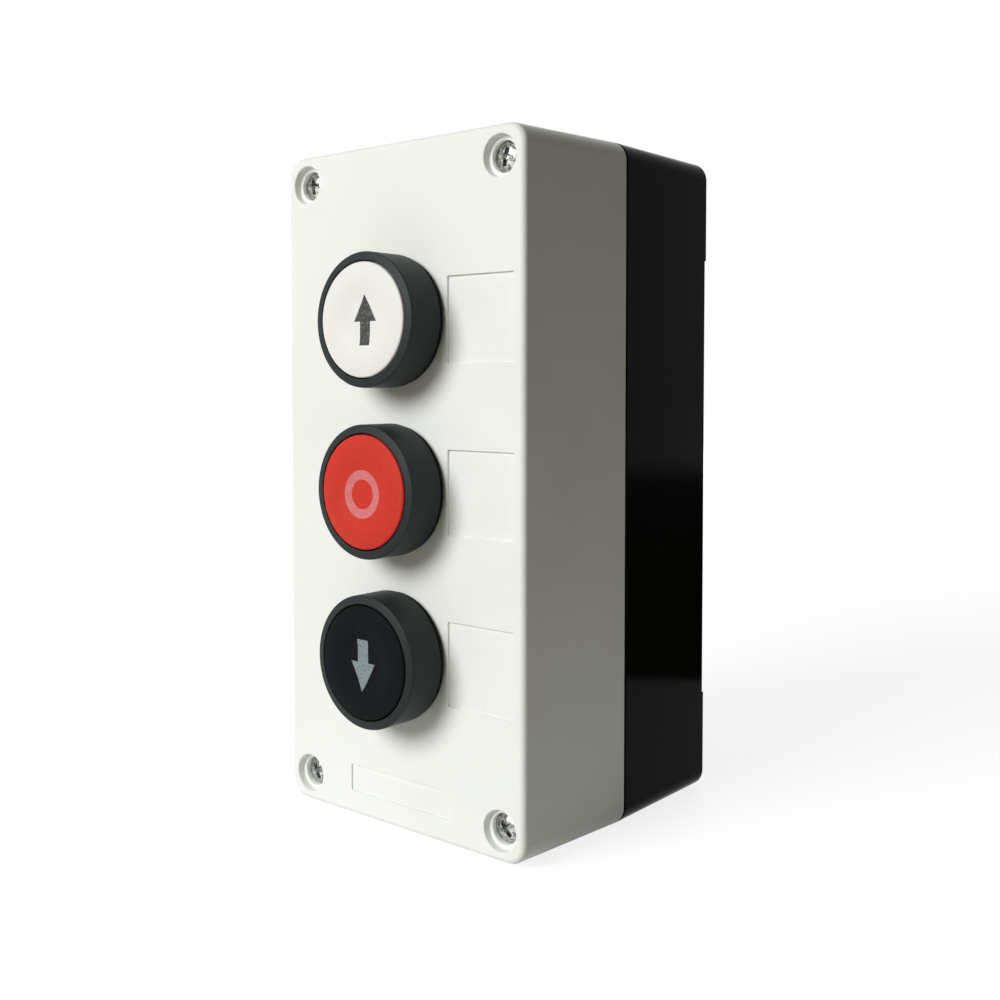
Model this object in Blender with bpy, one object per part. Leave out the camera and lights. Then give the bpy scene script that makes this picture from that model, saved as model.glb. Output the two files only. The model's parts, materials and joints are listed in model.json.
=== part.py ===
"""Surface-mounted control station with three push buttons, as it comes apart on a bench.

The pieces are modelled in the frame of the front panel: x to the right, y up, z out of the front face,
with the face itself at z = 0. An empty turns that frame upright, so that the station stands on its lower
end, faces -Y and has its back on +Y.
"""

import math

import bmesh
import bpy
from mathutils import Matrix, Vector

MM = 0.001

# Enclosure
SEAM_WIDTH = 70.0 * MM
SEAM_HEIGHT = 146.4 * MM
COVER_DEPTH = 33.4 * MM
BASE_DEPTH = 33.1 * MM  # with the back pads
COVER_DRAFT = 0.95 * MM  # lost on each side from the seam to the front face
BASE_DRAFT = 0.1 * MM  # lost on each side from the seam to the back
CORNER_RADIUS = 4.3 * MM
FRONT_FILLET = 1.2 * MM
BACK_FILLET = 0.7 * MM
SEAM_EDGE = 0.4 * MM  # chamfer of the cover's rim
SMALLEST_RADIUS = 0.5 * MM  # of an inside corner
WALL = 3.0 * MM
PAD_LENGTH = 22.8 * MM  # raised strip across each end of the back
PAD_HEIGHT = 0.75 * MM

# Recesses of the front face
LEGEND_SIZE = 17.4 * MM
LEGEND_MARGIN = 3.4 * MM  # from the seam's edge to the recess beside a button
LEGEND_DEPTH = 0.5 * MM
NAME_WIDTH = 28.8 * MM
NAME_HEIGHT = 5.8 * MM
NAME_MARGIN = 6.1 * MM  # from the seam's lower edge
NAME_DEPTH = 0.4 * MM

# Cover screws, their wells and columns
SCREW_HEAD_DIAMETER = 6.1 * MM
SCREW_HEAD_HEIGHT = 2.4 * MM
SCREW_HEAD_DOME = 0.9 * MM
SCREW_SINK = 1.8 * MM  # top of the head below the face
SCREW_DIAMETER = 4.0 * MM
SCREW_POINT = 1.6 * MM
SCREW_GRIP = 12.0 * MM  # length held by the base
SCREW_EDGE = 1.15 * MM  # from a column to the side of the front face
RECESS_LENGTH = 3.8 * MM
RECESS_WIDTH = 0.9 * MM
RECESS_DEPTH = 1.3 * MM
WELL_GAP = 0.3 * MM  # around the head
WELL_STEP = 0.85 * MM  # ledge in the well, around its narrow part
WELL_STEP_DEPTH = 1.5 * MM
COLUMN_WALL = 1.65 * MM
BLIND_DEPTH = 2.0 * MM  # free hole below the screw's point

# Cable entries and fixing holes of the base
KNOCKOUT_DIAMETER = 20.5 * MM
KNOCKOUT_GROOVE = 1.0 * MM
KNOCKOUT_SKIN = 0.9 * MM
FIXING_INSET_X = 15.0 * MM
FIXING_INSET_Y = 14.2 * MM
FIXING_DIAMETER = 5.0 * MM

# Gasket between cover and base
GASKET_WIDTH = 1.0 * MM
GASKET_HEIGHT = 1.1 * MM

# Button heads
BUTTON_GAP = 7.4 * MM  # between neighbouring bezels
BUTTON_TRAVEL = 4.0 * MM
BARREL_DIAMETER = 21.8 * MM
BARREL_WALL = 2.3 * MM
BEZEL_WALL = 1.8 * MM
BEZEL_SLOPE = 0.35 * MM  # fall of the front ring from its inner to its outer edge
BEZEL_EDGE = 0.35 * MM
BEZEL_FLOOR = 1.75 * MM
WEB_THICKNESS = 2.0 * MM
SEAL_THICKNESS = 0.8 * MM
SEAL_SET_IN = 0.35 * MM  # from the edge of the bezel
SEAL_CLEARANCE = 0.9 * MM  # around the barrel
NUT_WALL = 3.6 * MM
NUT_THICKNESS = 5.0 * MM
NUT_NOTCHES = 6
NUT_NOTCH_DEPTH = 1.2 * MM

# Caps and pushers
CAP_OVERHANG = 0.85 * MM  # beyond the barrel
CAP_THICKNESS = 3.0 * MM
CAP_DISH = 0.65 * MM  # floor of the dish below its crest
CAP_ROLL = 0.22 * MM  # fall from the crest to the edge
CAP_EDGE = 0.5 * MM
DISH_FLOOR = 0.33  # radius of the dish's floor, as a share of the face
DISH_CREST = 0.72  # radius of its crest
CAP_RISE = 0.4 * MM  # crest of the cap in front of the bezel
HUB_LENGTH = 2.0 * MM
HUB_WALL = 1.8 * MM
SPIGOT_DIAMETER = 8.0 * MM
PUSHER_FLOOR = 2.5 * MM
SKIRT_LENGTH = 8.0 * MM
SKIRT_WALL = 1.0 * MM
STEM_TAIL = 3.65 * MM  # stem behind the web
BARB_RISE = 0.9 * MM
BARB_LENGTH = 1.2 * MM
RETURN_SPRING_LENGTH = 14.0 * MM
RETURN_SPRING_WIRE = 1.0 * MM
RETURN_SPRING_ROOM = 1.0 * MM  # inside and outside the wire
RETURN_SPRING_TURNS = 5

# Contact blocks
HOLDER_THICKNESS = 2.0 * MM
HOLDER_SLEEVE = 7.0 * MM
HOLDER_WALL = 1.8 * MM
ARM_WIDTH = 10.0 * MM
ARM_THICKNESS = 1.4 * MM
RIB_RISE = 0.8 * MM
RIB_DROP = 4.5 * MM  # from the front of the housing
RIB_HEIGHT = 1.5 * MM
BLOCK_WIDTH = 19.0 * MM
BLOCK_WALL = 1.5 * MM
LID_THICKNESS = 1.5 * MM
LIP_LENGTH = 14.0 * MM
PEG_LENGTH = 2.2 * MM
PLUNGER_MARGIN = 0.95 * MM  # from the pressed stem to the front of the housing
PLUNGER_SHOULDER = 0.3 * MM  # around the nose
PLUNGER_TAIL = 4.2 * MM  # behind the contact strips
NOSE_DIAMETER = 6.4 * MM
NOSE_ROOT = 1.75 * MM  # nose inside the plunger's body
BRIDGE_DROP = 3.5 * MM  # from the plunger's shoulder to the first contact strip
BRIDGE_WIDTH = 4.0 * MM
STRIP_THICKNESS = 1.0 * MM
STRIP_END = 0.2 * MM  # strip beyond its contact
CONTACT_DIAMETER = 2.4 * MM
CONTACT_HEIGHT = 0.5 * MM
CONTACT_OFFSET = 8.0 * MM  # from the axis
TERMINAL_WIDTH = 6.0 * MM
TERMINAL_LAND = 4.1 * MM  # from the chamber to the clamp screw
TERMINAL_SCREW_DIAMETER = 3.4 * MM
TERMINAL_SCREW_LENGTH = 4.2 * MM
TERMINAL_HEAD_DIAMETER = 5.2 * MM
TERMINAL_HEAD_HEIGHT = 2.0 * MM
TERMINAL_SLOT_WIDTH = 0.9 * MM
TERMINAL_SLOT_DEPTH = 0.9 * MM
WIRE_ENTRY_DEPTH = 6.0 * MM
CONTACT_SPRING_WIRE = 0.7 * MM
CONTACT_SPRING_DIAMETER = 5.4 * MM
CONTACT_SPRING_PRESSED = 6.2 * MM  # room left behind the pressed plunger
CONTACT_SPRING_TURNS = 4

# Clearances
SEAT_GAP = 0.3 * MM  # between faces that rest on each other
FIT_GAP = 0.3 * MM  # around a piece that sits in a hole
SLIDE_GAP = 0.4 * MM  # around a piece that slides
CAP_GAP = 0.25 * MM  # between cap and bezel
OVERCUT = 1.0 * MM  # cutters run this far past the wall
COIL_CLOSE = 1.05  # pitch of a closed end turn, in wire diameters

# Facets
CORNER_STEPS = 4
FILLET_STEPS = 3
FACE_SIDES = 28
WELL_SIDES = 14
INNER_SIDES = 12
SCREW_SIDES = 10
COIL_STEPS = 8
SMOOTH_ANGLE = math.radians(35)

# Radii that follow from the barrel, outwards and inwards
BARREL_R = BARREL_DIAMETER / 2
CAP_R = BARREL_R + CAP_OVERHANG
POCKET_R = CAP_R + CAP_GAP
BEZEL_R = POCKET_R + BEZEL_WALL
BORE_R = BARREL_R - BARREL_WALL
SKIRT_R = BORE_R - SLIDE_GAP
SKIRT_INNER_R = SKIRT_R - SKIRT_WALL
STEM_R = SKIRT_INNER_R - RETURN_SPRING_WIRE - 2 * RETURN_SPRING_ROOM
SPIGOT_R = SPIGOT_DIAMETER / 2
NOSE_R = NOSE_DIAMETER / 2
BUTTON_PITCH = 2 * BEZEL_R + BUTTON_GAP

# Screws and their places
SCREW_HEAD_R = SCREW_HEAD_DIAMETER / 2
SCREW_HOLE_R = SCREW_DIAMETER / 2 + FIT_GAP
WELL_R = SCREW_HEAD_R + WELL_GAP
COLUMN_R = WELL_R + COLUMN_WALL
SCREW_INSET = COVER_DRAFT + SCREW_EDGE + COLUMN_R
TERMINAL_SCREW_R = TERMINAL_SCREW_DIAMETER / 2
TERMINAL_HEAD_R = TERMINAL_HEAD_DIAMETER / 2

# Depths that follow from the stack of pieces, measured out of the front face
SEAM_Z = -COVER_DEPTH
RIM_Z = SEAM_Z - SEAT_GAP
BACK_Z = RIM_Z - BASE_DEPTH
FLOOR_Z = BACK_Z + PAD_HEIGHT + WALL
WELL_SEAT_Z = -(SCREW_SINK + SCREW_HEAD_HEIGHT + SEAT_GAP)
SCREW_TIP_Z = RIM_Z - SCREW_GRIP
FLANGE_Z = SEAT_GAP + SEAL_THICKNESS + SEAT_GAP
POCKET_Z = FLANGE_Z + BEZEL_FLOOR
CAP_BACK_Z = POCKET_Z + SEAT_GAP + BUTTON_TRAVEL
CAP_FRONT_Z = CAP_BACK_Z + CAP_THICKNESS
BEZEL_Z = CAP_FRONT_Z - CAP_RISE
SHOULDER_Z = CAP_BACK_Z - HUB_LENGTH - SEAT_GAP
SPRING_SEAT_Z = SHOULDER_Z - PUSHER_FLOOR
WEB_Z = SPRING_SEAT_Z - SEAT_GAP - RETURN_SPRING_LENGTH - SEAT_GAP
WEB_BACK_Z = WEB_Z - WEB_THICKNESS
STEM_END_Z = WEB_BACK_Z - STEM_TAIL
BLOCK_Z = STEM_END_Z - BUTTON_TRAVEL - PLUNGER_MARGIN
HOLDER_BACK_Z = BLOCK_Z + SEAT_GAP
HOLDER_Z = HOLDER_BACK_Z + HOLDER_THICKNESS
BARREL_END_Z = HOLDER_Z + SEAT_GAP
CHAMBER_Z = BLOCK_Z - BLOCK_WALL
PLUNGER_Z = CHAMBER_Z - SEAT_GAP
STRIP_Z = PLUNGER_Z - BRIDGE_DROP
CONTACT_STACK = STRIP_THICKNESS + CONTACT_HEIGHT + SEAT_GAP + CONTACT_HEIGHT
PLUNGER_END_Z = STRIP_Z - CONTACT_STACK - STRIP_THICKNESS - PLUNGER_TAIL
BLOCK_BACK_Z = PLUNGER_END_Z - BUTTON_TRAVEL - CONTACT_SPRING_PRESSED
LID_Z = BLOCK_BACK_Z - SEAT_GAP

# Half widths of the contact block, from its axis
PLUNGER_X = NOSE_R + PLUNGER_SHOULDER
CONTACT_R = CONTACT_DIAMETER / 2
BRIDGE_X = CONTACT_OFFSET + CONTACT_R + STRIP_END
CHAMBER_X = BRIDGE_X + SLIDE_GAP
TERMINAL_X = CONTACT_OFFSET - CONTACT_R - STRIP_END
TERMINAL_SCREW_X = CHAMBER_X + TERMINAL_LAND
BAY_X = TERMINAL_SCREW_X + TERMINAL_HEAD_R + FIT_GAP
BAY_Y = max(TERMINAL_WIDTH / 2, TERMINAL_HEAD_R) + FIT_GAP
BLOCK_X = BAY_X + BLOCK_WALL
BLOCK_Y = BLOCK_WIDTH / 2
CHAMBER_Y = BLOCK_Y - BLOCK_WALL

# The station is centred front to back on its whole depth
FRONT_Y = (CAP_FRONT_Z + BACK_Z) / 2

FINISHES = {
    "cover": ((240, 242, 236), 0.42, 0.0),
    "base": ((22, 23, 21), 0.22, 0.0),
    "bezel": ((50, 55, 56), 0.45, 0.0),
    "seal": ((16, 16, 16), 0.8, 0.0),
    "cap_up": ((242, 242, 240), 0.4, 0.0),
    "cap_stop": ((214, 63, 49), 0.35, 0.0),
    "cap_down": ((29, 31, 33), 0.5, 0.0),
    "zinc": ((196, 197, 192), 0.25, 1.0),
    "inner_plastic": ((58, 60, 62), 0.5, 0.0),
    "block_make": ((58, 122, 84), 0.45, 0.0),
    "block_break": ((178, 52, 44), 0.45, 0.0),
    "plunger": ((226, 224, 216), 0.45, 0.0),
    "brass": ((201, 164, 92), 0.3, 1.0),
    "spring_steel": ((168, 170, 172), 0.3, 1.0),
}


def linear(channel):
    """Linear light of an 8-bit display value."""
    share = channel / 255
    return share / 12.92 if share <= 0.04045 else ((share + 0.055) / 1.055) ** 2.4


def finish_material(name):
    """The named finish as a Principled material, made once."""
    if name in bpy.data.materials:
        return bpy.data.materials[name]
    colour, roughness, metallic = FINISHES[name]
    material = bpy.data.materials.new(name)
    material.use_nodes = True
    shader = material.node_tree.nodes["Principled BSDF"]
    shader.inputs["Base Color"].default_value = (*(linear(channel) for channel in colour), 1.0)
    shader.inputs["Roughness"].default_value = roughness
    shader.inputs["Metallic"].default_value = metallic
    return material


def empty(name, location, parent=None):
    """A bare axis that pieces hang on."""
    axis = bpy.data.objects.new(name, None)
    axis.location = location
    axis.parent = parent
    bpy.context.scene.collection.objects.link(axis)
    return axis


def add_turned(shape, profile, sides, centre=(0.0, 0.0)):
    """Spins (radius, height) points round z. A profile that ends on the axis stays open there."""
    points = [shape.verts.new((centre[0] + radius, centre[1], height)) for radius, height in profile]
    on_axis = profile[0][0] == 0 and profile[-1][0] == 0
    ends = points[1:] if on_axis else points[1:] + points[:1]
    edges = [shape.edges.new(pair) for pair in zip(points, ends)]
    bmesh.ops.spin(
        shape,
        geom=points + edges,
        cent=(*centre, 0.0),
        axis=(0.0, 0.0, 1.0),
        angle=math.tau,
        steps=sides,
        use_merge=True,
    )
    bmesh.ops.remove_doubles(shape, verts=shape.verts[:], dist=MM * 1e-4)


def add_box(shape, low, high):
    """A block between two opposite corners."""
    low = Vector(low)
    high = Vector(high)
    bmesh.ops.create_cube(shape, matrix=Matrix.LocRotScale((low + high) / 2, None, high - low))


def add_prism(shape, outline, low, high):
    """An outline of (x, y) points, extruded from one height to another."""
    face = shape.faces.new([shape.verts.new((x, y, low)) for x, y in outline])
    grown = bmesh.ops.extrude_face_region(shape, geom=[face])
    top = [item for item in grown["geom"] if isinstance(item, bmesh.types.BMVert)]
    bmesh.ops.translate(shape, verts=top, vec=(0.0, 0.0, high - low))


def add_loft(shape, sections, ring=False):
    """Skins sections of (outline, height), capped at both ends unless they close into a ring."""
    loops = [[shape.verts.new((x, y, height)) for x, y in outline] for outline, height in sections]
    following = loops[1:] + loops[:1] if ring else loops[1:]
    for near, far in zip(loops, following):
        for a, b, c, d in zip(near, near[1:] + near[:1], far[1:] + far[:1], far):
            shape.faces.new((a, b, c, d))
    if not ring:
        shape.faces.new(loops[0])
        shape.faces.new(loops[-1])


def rounded(width, height, radius):
    """Outline of an upright rectangle with round corners."""
    radius = min(radius, width / 2, height / 2)
    points = []
    for quarter, (side, rise) in enumerate(((1, 1), (-1, 1), (-1, -1), (1, -1))):
        for step in range(CORNER_STEPS + 1):
            angle = math.radians(90) * (quarter + step / CORNER_STEPS)
            x = side * (width / 2 - radius) + radius * math.cos(angle)
            y = rise * (height / 2 - radius) + radius * math.sin(angle)
            points.append((x, y))
    return points


def closed_mesh(name, shape):
    """Turns every face of the shape outwards and stores it as a mesh with its round faces smooth."""
    bmesh.ops.recalc_face_normals(shape, faces=shape.faces[:])
    mesh = bpy.data.meshes.new(name)
    shape.to_mesh(mesh)
    shape.free()
    mesh.shade_smooth()
    mesh.set_sharp_from_angle(angle=SMOOTH_ANGLE)
    return mesh


def piece(name, shape, finish, parent):
    """One named piece of the station, with its finish, on the axis that carries it."""
    body = bpy.data.objects.new(name, closed_mesh(name, shape))
    body.data.materials.append(finish_material(finish))
    body.parent = parent
    bpy.context.scene.collection.objects.link(body)
    return body


def combine(body, name, shape, operation):
    """Cuts a helper shape from a piece, or joins it on."""
    helper = bpy.data.objects.new(f"{body.name}_{name}", closed_mesh(name, shape))
    helper.parent = body.parent
    helper.display_type = "WIRE"
    helper.hide_render = True
    bpy.context.scene.collection.objects.link(helper)
    modifier = body.modifiers.new(name, "BOOLEAN")
    modifier.operation = operation
    modifier.object = helper


def corners(inset_x, inset_y):
    """The four corners of a pattern set in from the seam's edges, by the name of their place."""
    x = SEAM_WIDTH / 2 - inset_x
    y = SEAM_HEIGHT / 2 - inset_y
    return {
        "top_left": (-x, y),
        "top_right": (x, y),
        "bottom_left": (-x, -y),
        "bottom_right": (x, -y),
    }


def cylinder(radius, low, high):
    """Profile of a solid cylinder."""
    return [(0, high), (radius, high), (radius, low), (0, low)]


def clear_of(radius, sides):
    """Corner radius of a hole whose flats stay clear of a round piece."""
    return radius / math.cos(math.pi / sides)


def shell_section(height, inset):
    """Outline of the enclosure at a height, set in from its drafted outer face."""
    if height > RIM_Z:
        loss = COVER_DRAFT * (height - SEAM_Z) / COVER_DEPTH
    else:
        loss = BASE_DRAFT * (RIM_Z - height) / BASE_DEPTH
    return seam_outline(loss + inset, CORNER_RADIUS - inset), height


def seam_outline(inset, radius):
    """The seam's outline set in by a width."""
    lost = 2 * inset
    return rounded(SEAM_WIDTH - lost, SEAM_HEIGHT - lost, max(radius, SMALLEST_RADIUS))


def fillet_sections(end_z, towards, radius):
    """Sections that round the edge of an end face, from the side to the face."""
    sections = []
    for step in range(FILLET_STEPS + 1):
        angle = math.radians(90) * step / FILLET_STEPS
        height = end_z - towards * radius * (1 - math.sin(angle))
        sections.append(shell_section(height, radius * (1 - math.cos(angle))))
    return sections


def ring_sections(width, low, high):
    """Sections of a rectangular ring that runs along the middle of the walls."""
    near = (WALL - width) / 2
    far = (WALL + width) / 2
    outer = seam_outline(near, CORNER_RADIUS - near)
    inner = seam_outline(far, CORNER_RADIUS - far)
    return [(outer, low), (outer, high), (inner, high), (inner, low)]


def front_cover(panel):
    """Drafted shell with button holes, screw wells on columns, and shallow recesses."""
    rim = [shell_section(SEAM_Z, SEAM_EDGE), shell_section(SEAM_Z + SEAM_EDGE, 0.0)]
    shape = bmesh.new()
    add_loft(shape, rim + fillet_sections(0.0, 1, FRONT_FILLET))
    cover = piece("front_cover", shape, "cover", panel)

    shape = bmesh.new()
    mouth, _ = shell_section(SEAM_Z, WALL)
    add_loft(shape, [(mouth, SEAM_Z - OVERCUT), (mouth, SEAM_Z), shell_section(-WALL, WALL)])
    combine(cover, "cavity", shape, "DIFFERENCE")

    places = corners(SCREW_INSET, SCREW_INSET).values()
    shape = bmesh.new()
    for place in places:
        add_turned(shape, cylinder(COLUMN_R, SEAM_Z, -WALL / 2), WELL_SIDES, place)
    combine(cover, "columns", shape, "UNION")

    well = [
        (0, OVERCUT),
        (WELL_R + WELL_STEP, OVERCUT),
        (WELL_R + WELL_STEP, -WELL_STEP_DEPTH),
        (WELL_R, -WELL_STEP_DEPTH),
        (WELL_R, WELL_SEAT_Z),
        (0, WELL_SEAT_Z),
    ]
    shape = bmesh.new()
    for place in places:
        add_turned(shape, well, WELL_SIDES, place)
    combine(cover, "wells", shape, "DIFFERENCE")

    hole = cylinder(SCREW_HOLE_R, SEAM_Z - OVERCUT, WELL_SEAT_Z / 2)
    shape = bmesh.new()
    for place in places:
        add_turned(shape, hole, SCREW_SIDES, place)
    combine(cover, "screw_holes", shape, "DIFFERENCE")

    hole = cylinder(BARREL_R + FIT_GAP, -WALL - OVERCUT, OVERCUT)
    shape = bmesh.new()
    for row in (1, 0, -1):
        add_turned(shape, hole, FACE_SIDES, (0.0, row * BUTTON_PITCH))
    combine(cover, "button_holes", shape, "DIFFERENCE")

    shape = bmesh.new()
    right = SEAM_WIDTH / 2 - LEGEND_MARGIN
    for row in (1, 0, -1):
        low = (right - LEGEND_SIZE, row * BUTTON_PITCH - LEGEND_SIZE / 2, -LEGEND_DEPTH)
        add_box(shape, low, (right, row * BUTTON_PITCH + LEGEND_SIZE / 2, OVERCUT))
    bottom = NAME_MARGIN - SEAM_HEIGHT / 2
    low = (-NAME_WIDTH / 2, bottom, -NAME_DEPTH)
    add_box(shape, low, (NAME_WIDTH / 2, bottom + NAME_HEIGHT, OVERCUT))
    combine(cover, "recesses", shape, "DIFFERENCE")


def rear_base(panel):
    """Box with screw columns, gasket groove, knock-outs, back pads and fixing holes."""
    shape = bmesh.new()
    add_loft(shape, [shell_section(RIM_Z, 0.0)] + fillet_sections(BACK_Z, -1, BACK_FILLET))
    base = piece("rear_base", shape, "base", panel)

    shape = bmesh.new()
    mouth, _ = shell_section(RIM_Z, WALL)
    add_loft(shape, [(mouth, RIM_Z + OVERCUT), (mouth, RIM_Z), shell_section(FLOOR_Z, WALL)])
    combine(base, "cavity", shape, "DIFFERENCE")

    places = corners(SCREW_INSET, SCREW_INSET).values()
    shape = bmesh.new()
    for place in places:
        add_turned(shape, cylinder(COLUMN_R, FLOOR_Z - WALL / 2, RIM_Z), WELL_SIDES, place)
    combine(base, "columns", shape, "UNION")

    pilot = cylinder(SCREW_HOLE_R, SCREW_TIP_Z - BLIND_DEPTH, RIM_Z + OVERCUT)
    fixing = cylinder(FIXING_DIAMETER / 2, BACK_Z - OVERCUT, FLOOR_Z + OVERCUT)
    shape = bmesh.new()
    for place in places:
        add_turned(shape, pilot, SCREW_SIDES, place)
    for place in corners(FIXING_INSET_X, FIXING_INSET_Y).values():
        add_turned(shape, fixing, WELL_SIDES, place)
    combine(base, "screw_holes", shape, "DIFFERENCE")

    shape = bmesh.new()
    bottom = RIM_Z - GASKET_HEIGHT - SEAT_GAP
    add_loft(shape, ring_sections(GASKET_WIDTH + 2 * FIT_GAP, bottom, RIM_Z + OVERCUT), ring=True)
    combine(base, "gasket_groove", shape, "DIFFERENCE")

    shape = bmesh.new()
    relief = SEAM_HEIGHT / 2 - PAD_LENGTH
    add_box(shape, (-SEAM_WIDTH, -relief, BACK_Z - OVERCUT), (SEAM_WIDTH, relief, BACK_Z + PAD_HEIGHT))
    combine(base, "back_relief", shape, "DIFFERENCE")

    outer_r = KNOCKOUT_DIAMETER / 2
    inner_r = outer_r - KNOCKOUT_GROOVE
    top = SEAM_HEIGHT / 2 + OVERCUT
    bottom = SEAM_HEIGHT / 2 - WALL + KNOCKOUT_SKIN
    groove = [(inner_r, top), (outer_r, top), (outer_r, bottom), (inner_r, bottom)]
    middle = Matrix.Translation((0.0, 0.0, RIM_Z - BASE_DEPTH / 2))
    for name, quarter in (("top", -1), ("bottom", 1)):
        shape = bmesh.new()
        add_turned(shape, groove, FACE_SIDES)
        turn = Matrix.Rotation(math.radians(90) * quarter, 4, "X")
        bmesh.ops.transform(shape, verts=shape.verts[:], matrix=middle @ turn)
        combine(base, f"{name}_knockout", shape, "DIFFERENCE")


def cover_gasket(panel):
    """Flat rubber ring in the groove of the base, level with its rim."""
    shape = bmesh.new()
    add_loft(shape, ring_sections(GASKET_WIDTH, RIM_Z - GASKET_HEIGHT, RIM_Z), ring=True)
    piece("cover_gasket", shape, "seal", panel)


def cross_outline(length, width):
    """Outline of an upright cross with equal arms."""
    arm = [(length / 2, -width / 2), (length / 2, width / 2), (width / 2, width / 2)]
    points = []
    for quarter in range(4):
        turn = Matrix.Rotation(math.radians(90) * quarter, 2)
        points += [tuple(turn @ Vector(point)) for point in arm]
    return points


def cover_screws(panel):
    """Pan-head screws through the cover's columns into the base."""
    shank_r = SCREW_DIAMETER / 2
    top_z = -SCREW_SINK
    under_z = top_z - SCREW_HEAD_HEIGHT
    dome = [(SCREW_HEAD_R * share, top_z - SCREW_HEAD_DOME * share**4) for share in (0, 0.7, 1)]
    shank = [
        (SCREW_HEAD_R, under_z),
        (shank_r, under_z),
        (shank_r, SCREW_TIP_Z + SCREW_POINT),
        (shank_r / 2, SCREW_TIP_Z),
        (0, SCREW_TIP_Z),
    ]
    for name, place in corners(SCREW_INSET, SCREW_INSET).items():
        axis = empty(f"{name}_screw_axis", (*place, 0.0), panel)
        shape = bmesh.new()
        add_turned(shape, dome + shank, SCREW_SIDES)
        screw = piece(f"cover_screw_{name}", shape, "zinc", axis)
        shape = bmesh.new()
        cross = cross_outline(RECESS_LENGTH, RECESS_WIDTH)
        add_prism(shape, cross, top_z - RECESS_DEPTH, top_z + OVERCUT)
        combine(screw, "cross_recess", shape, "DIFFERENCE")


def coil(name, axis, top_z, length, diameter, wire, turns):
    """Compression spring below a height, with a closed turn at each end."""
    closed = wire * COIL_CLOSE
    opened = (length - wire - 2 * closed) / (turns - 2)
    radius = (diameter - wire) / 2
    path = bpy.data.curves.new(name, "CURVE")
    path.dimensions = "3D"
    path.bevel_depth = wire / 2
    path.bevel_resolution = 0
    path.use_fill_caps = True
    spline = path.splines.new("POLY")
    spline.points.add(turns * COIL_STEPS)
    for step, point in enumerate(spline.points):
        turn = step / COIL_STEPS
        first = min(turn, 1)
        last = max(turn - (turns - 1), 0)
        drop = wire / 2 + closed * (first + last) + opened * (turn - first - last)
        angle = math.tau * turn
        point.co = (radius * math.cos(angle), radius * math.sin(angle), top_z - drop, 1.0)
    path.materials.append(finish_material("spring_steel"))
    spring = bpy.data.objects.new(name, path)
    spring.parent = axis
    bpy.context.scene.collection.objects.link(spring)


def button_head(name, axis):
    """Bezel and barrel in one, with a web that carries the return spring."""
    edge_z = BEZEL_Z - BEZEL_SLOPE
    slope = BEZEL_SLOPE / BEZEL_WALL
    web_r = STEM_R + SLIDE_GAP
    profile = [
        (POCKET_R, BEZEL_Z),
        (BEZEL_R - BEZEL_EDGE, edge_z + slope * BEZEL_EDGE),
        (BEZEL_R, edge_z - BEZEL_EDGE),
        (BEZEL_R, FLANGE_Z),
        (BARREL_R, FLANGE_Z),
        (BARREL_R, BARREL_END_Z),
        (BORE_R, BARREL_END_Z),
        (BORE_R, WEB_BACK_Z),
        (web_r, WEB_BACK_Z),
        (web_r, WEB_Z),
        (BORE_R, WEB_Z),
        (BORE_R, POCKET_Z),
        (POCKET_R, POCKET_Z),
    ]
    shape = bmesh.new()
    add_turned(shape, profile, FACE_SIDES)
    piece(f"{name}_bezel", shape, "bezel", axis)


def button_cap(name, axis):
    """Cap with a dish inside a rolled rim, and a hub that clips over the pusher's spigot."""
    flat_r = CAP_R - CAP_EDGE
    socket_r = SPIGOT_R + FIT_GAP
    hub_r = socket_r + HUB_WALL
    hub_z = CAP_BACK_Z - HUB_LENGTH
    face = [
        (0, CAP_FRONT_Z - CAP_DISH),
        (flat_r * DISH_FLOOR, CAP_FRONT_Z - CAP_DISH),
        (flat_r * DISH_CREST, CAP_FRONT_Z),
        (flat_r, CAP_FRONT_Z - CAP_ROLL),
    ]
    back = [
        (CAP_R, CAP_FRONT_Z - CAP_EDGE),
        (CAP_R, CAP_BACK_Z),
        (hub_r, CAP_BACK_Z),
        (hub_r, hub_z),
        (socket_r, hub_z),
        (socket_r, CAP_BACK_Z),
        (0, CAP_BACK_Z),
    ]
    shape = bmesh.new()
    add_turned(shape, face + back, FACE_SIDES)
    piece(f"{name}_cap", shape, f"cap_{name}", axis)


def button_pusher(name, axis):
    """Guide skirt and stem with its return spring. The barb behind the web keeps it from coming out."""
    spigot_z = CAP_BACK_Z - SEAT_GAP
    skirt_z = SHOULDER_Z - SKIRT_LENGTH
    barb_z = WEB_BACK_Z - SEAT_GAP
    profile = [
        (0, spigot_z),
        (SPIGOT_R, spigot_z),
        (SPIGOT_R, SHOULDER_Z),
        (SKIRT_R, SHOULDER_Z),
        (SKIRT_R, skirt_z),
        (SKIRT_INNER_R, skirt_z),
        (SKIRT_INNER_R, SPRING_SEAT_Z),
        (STEM_R, SPRING_SEAT_Z),
        (STEM_R, barb_z),
        (STEM_R + BARB_RISE, barb_z),
        (STEM_R, barb_z - BARB_LENGTH),
        (STEM_R, STEM_END_Z),
        (0, STEM_END_Z),
    ]
    shape = bmesh.new()
    add_turned(shape, profile, INNER_SIDES)
    piece(f"{name}_pusher", shape, "inner_plastic", axis)
    coil(
        f"{name}_return_spring",
        axis,
        SPRING_SEAT_Z - SEAT_GAP,
        RETURN_SPRING_LENGTH,
        2 * (STEM_R + RETURN_SPRING_ROOM + RETURN_SPRING_WIRE),
        RETURN_SPRING_WIRE,
        RETURN_SPRING_TURNS,
    )


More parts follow.
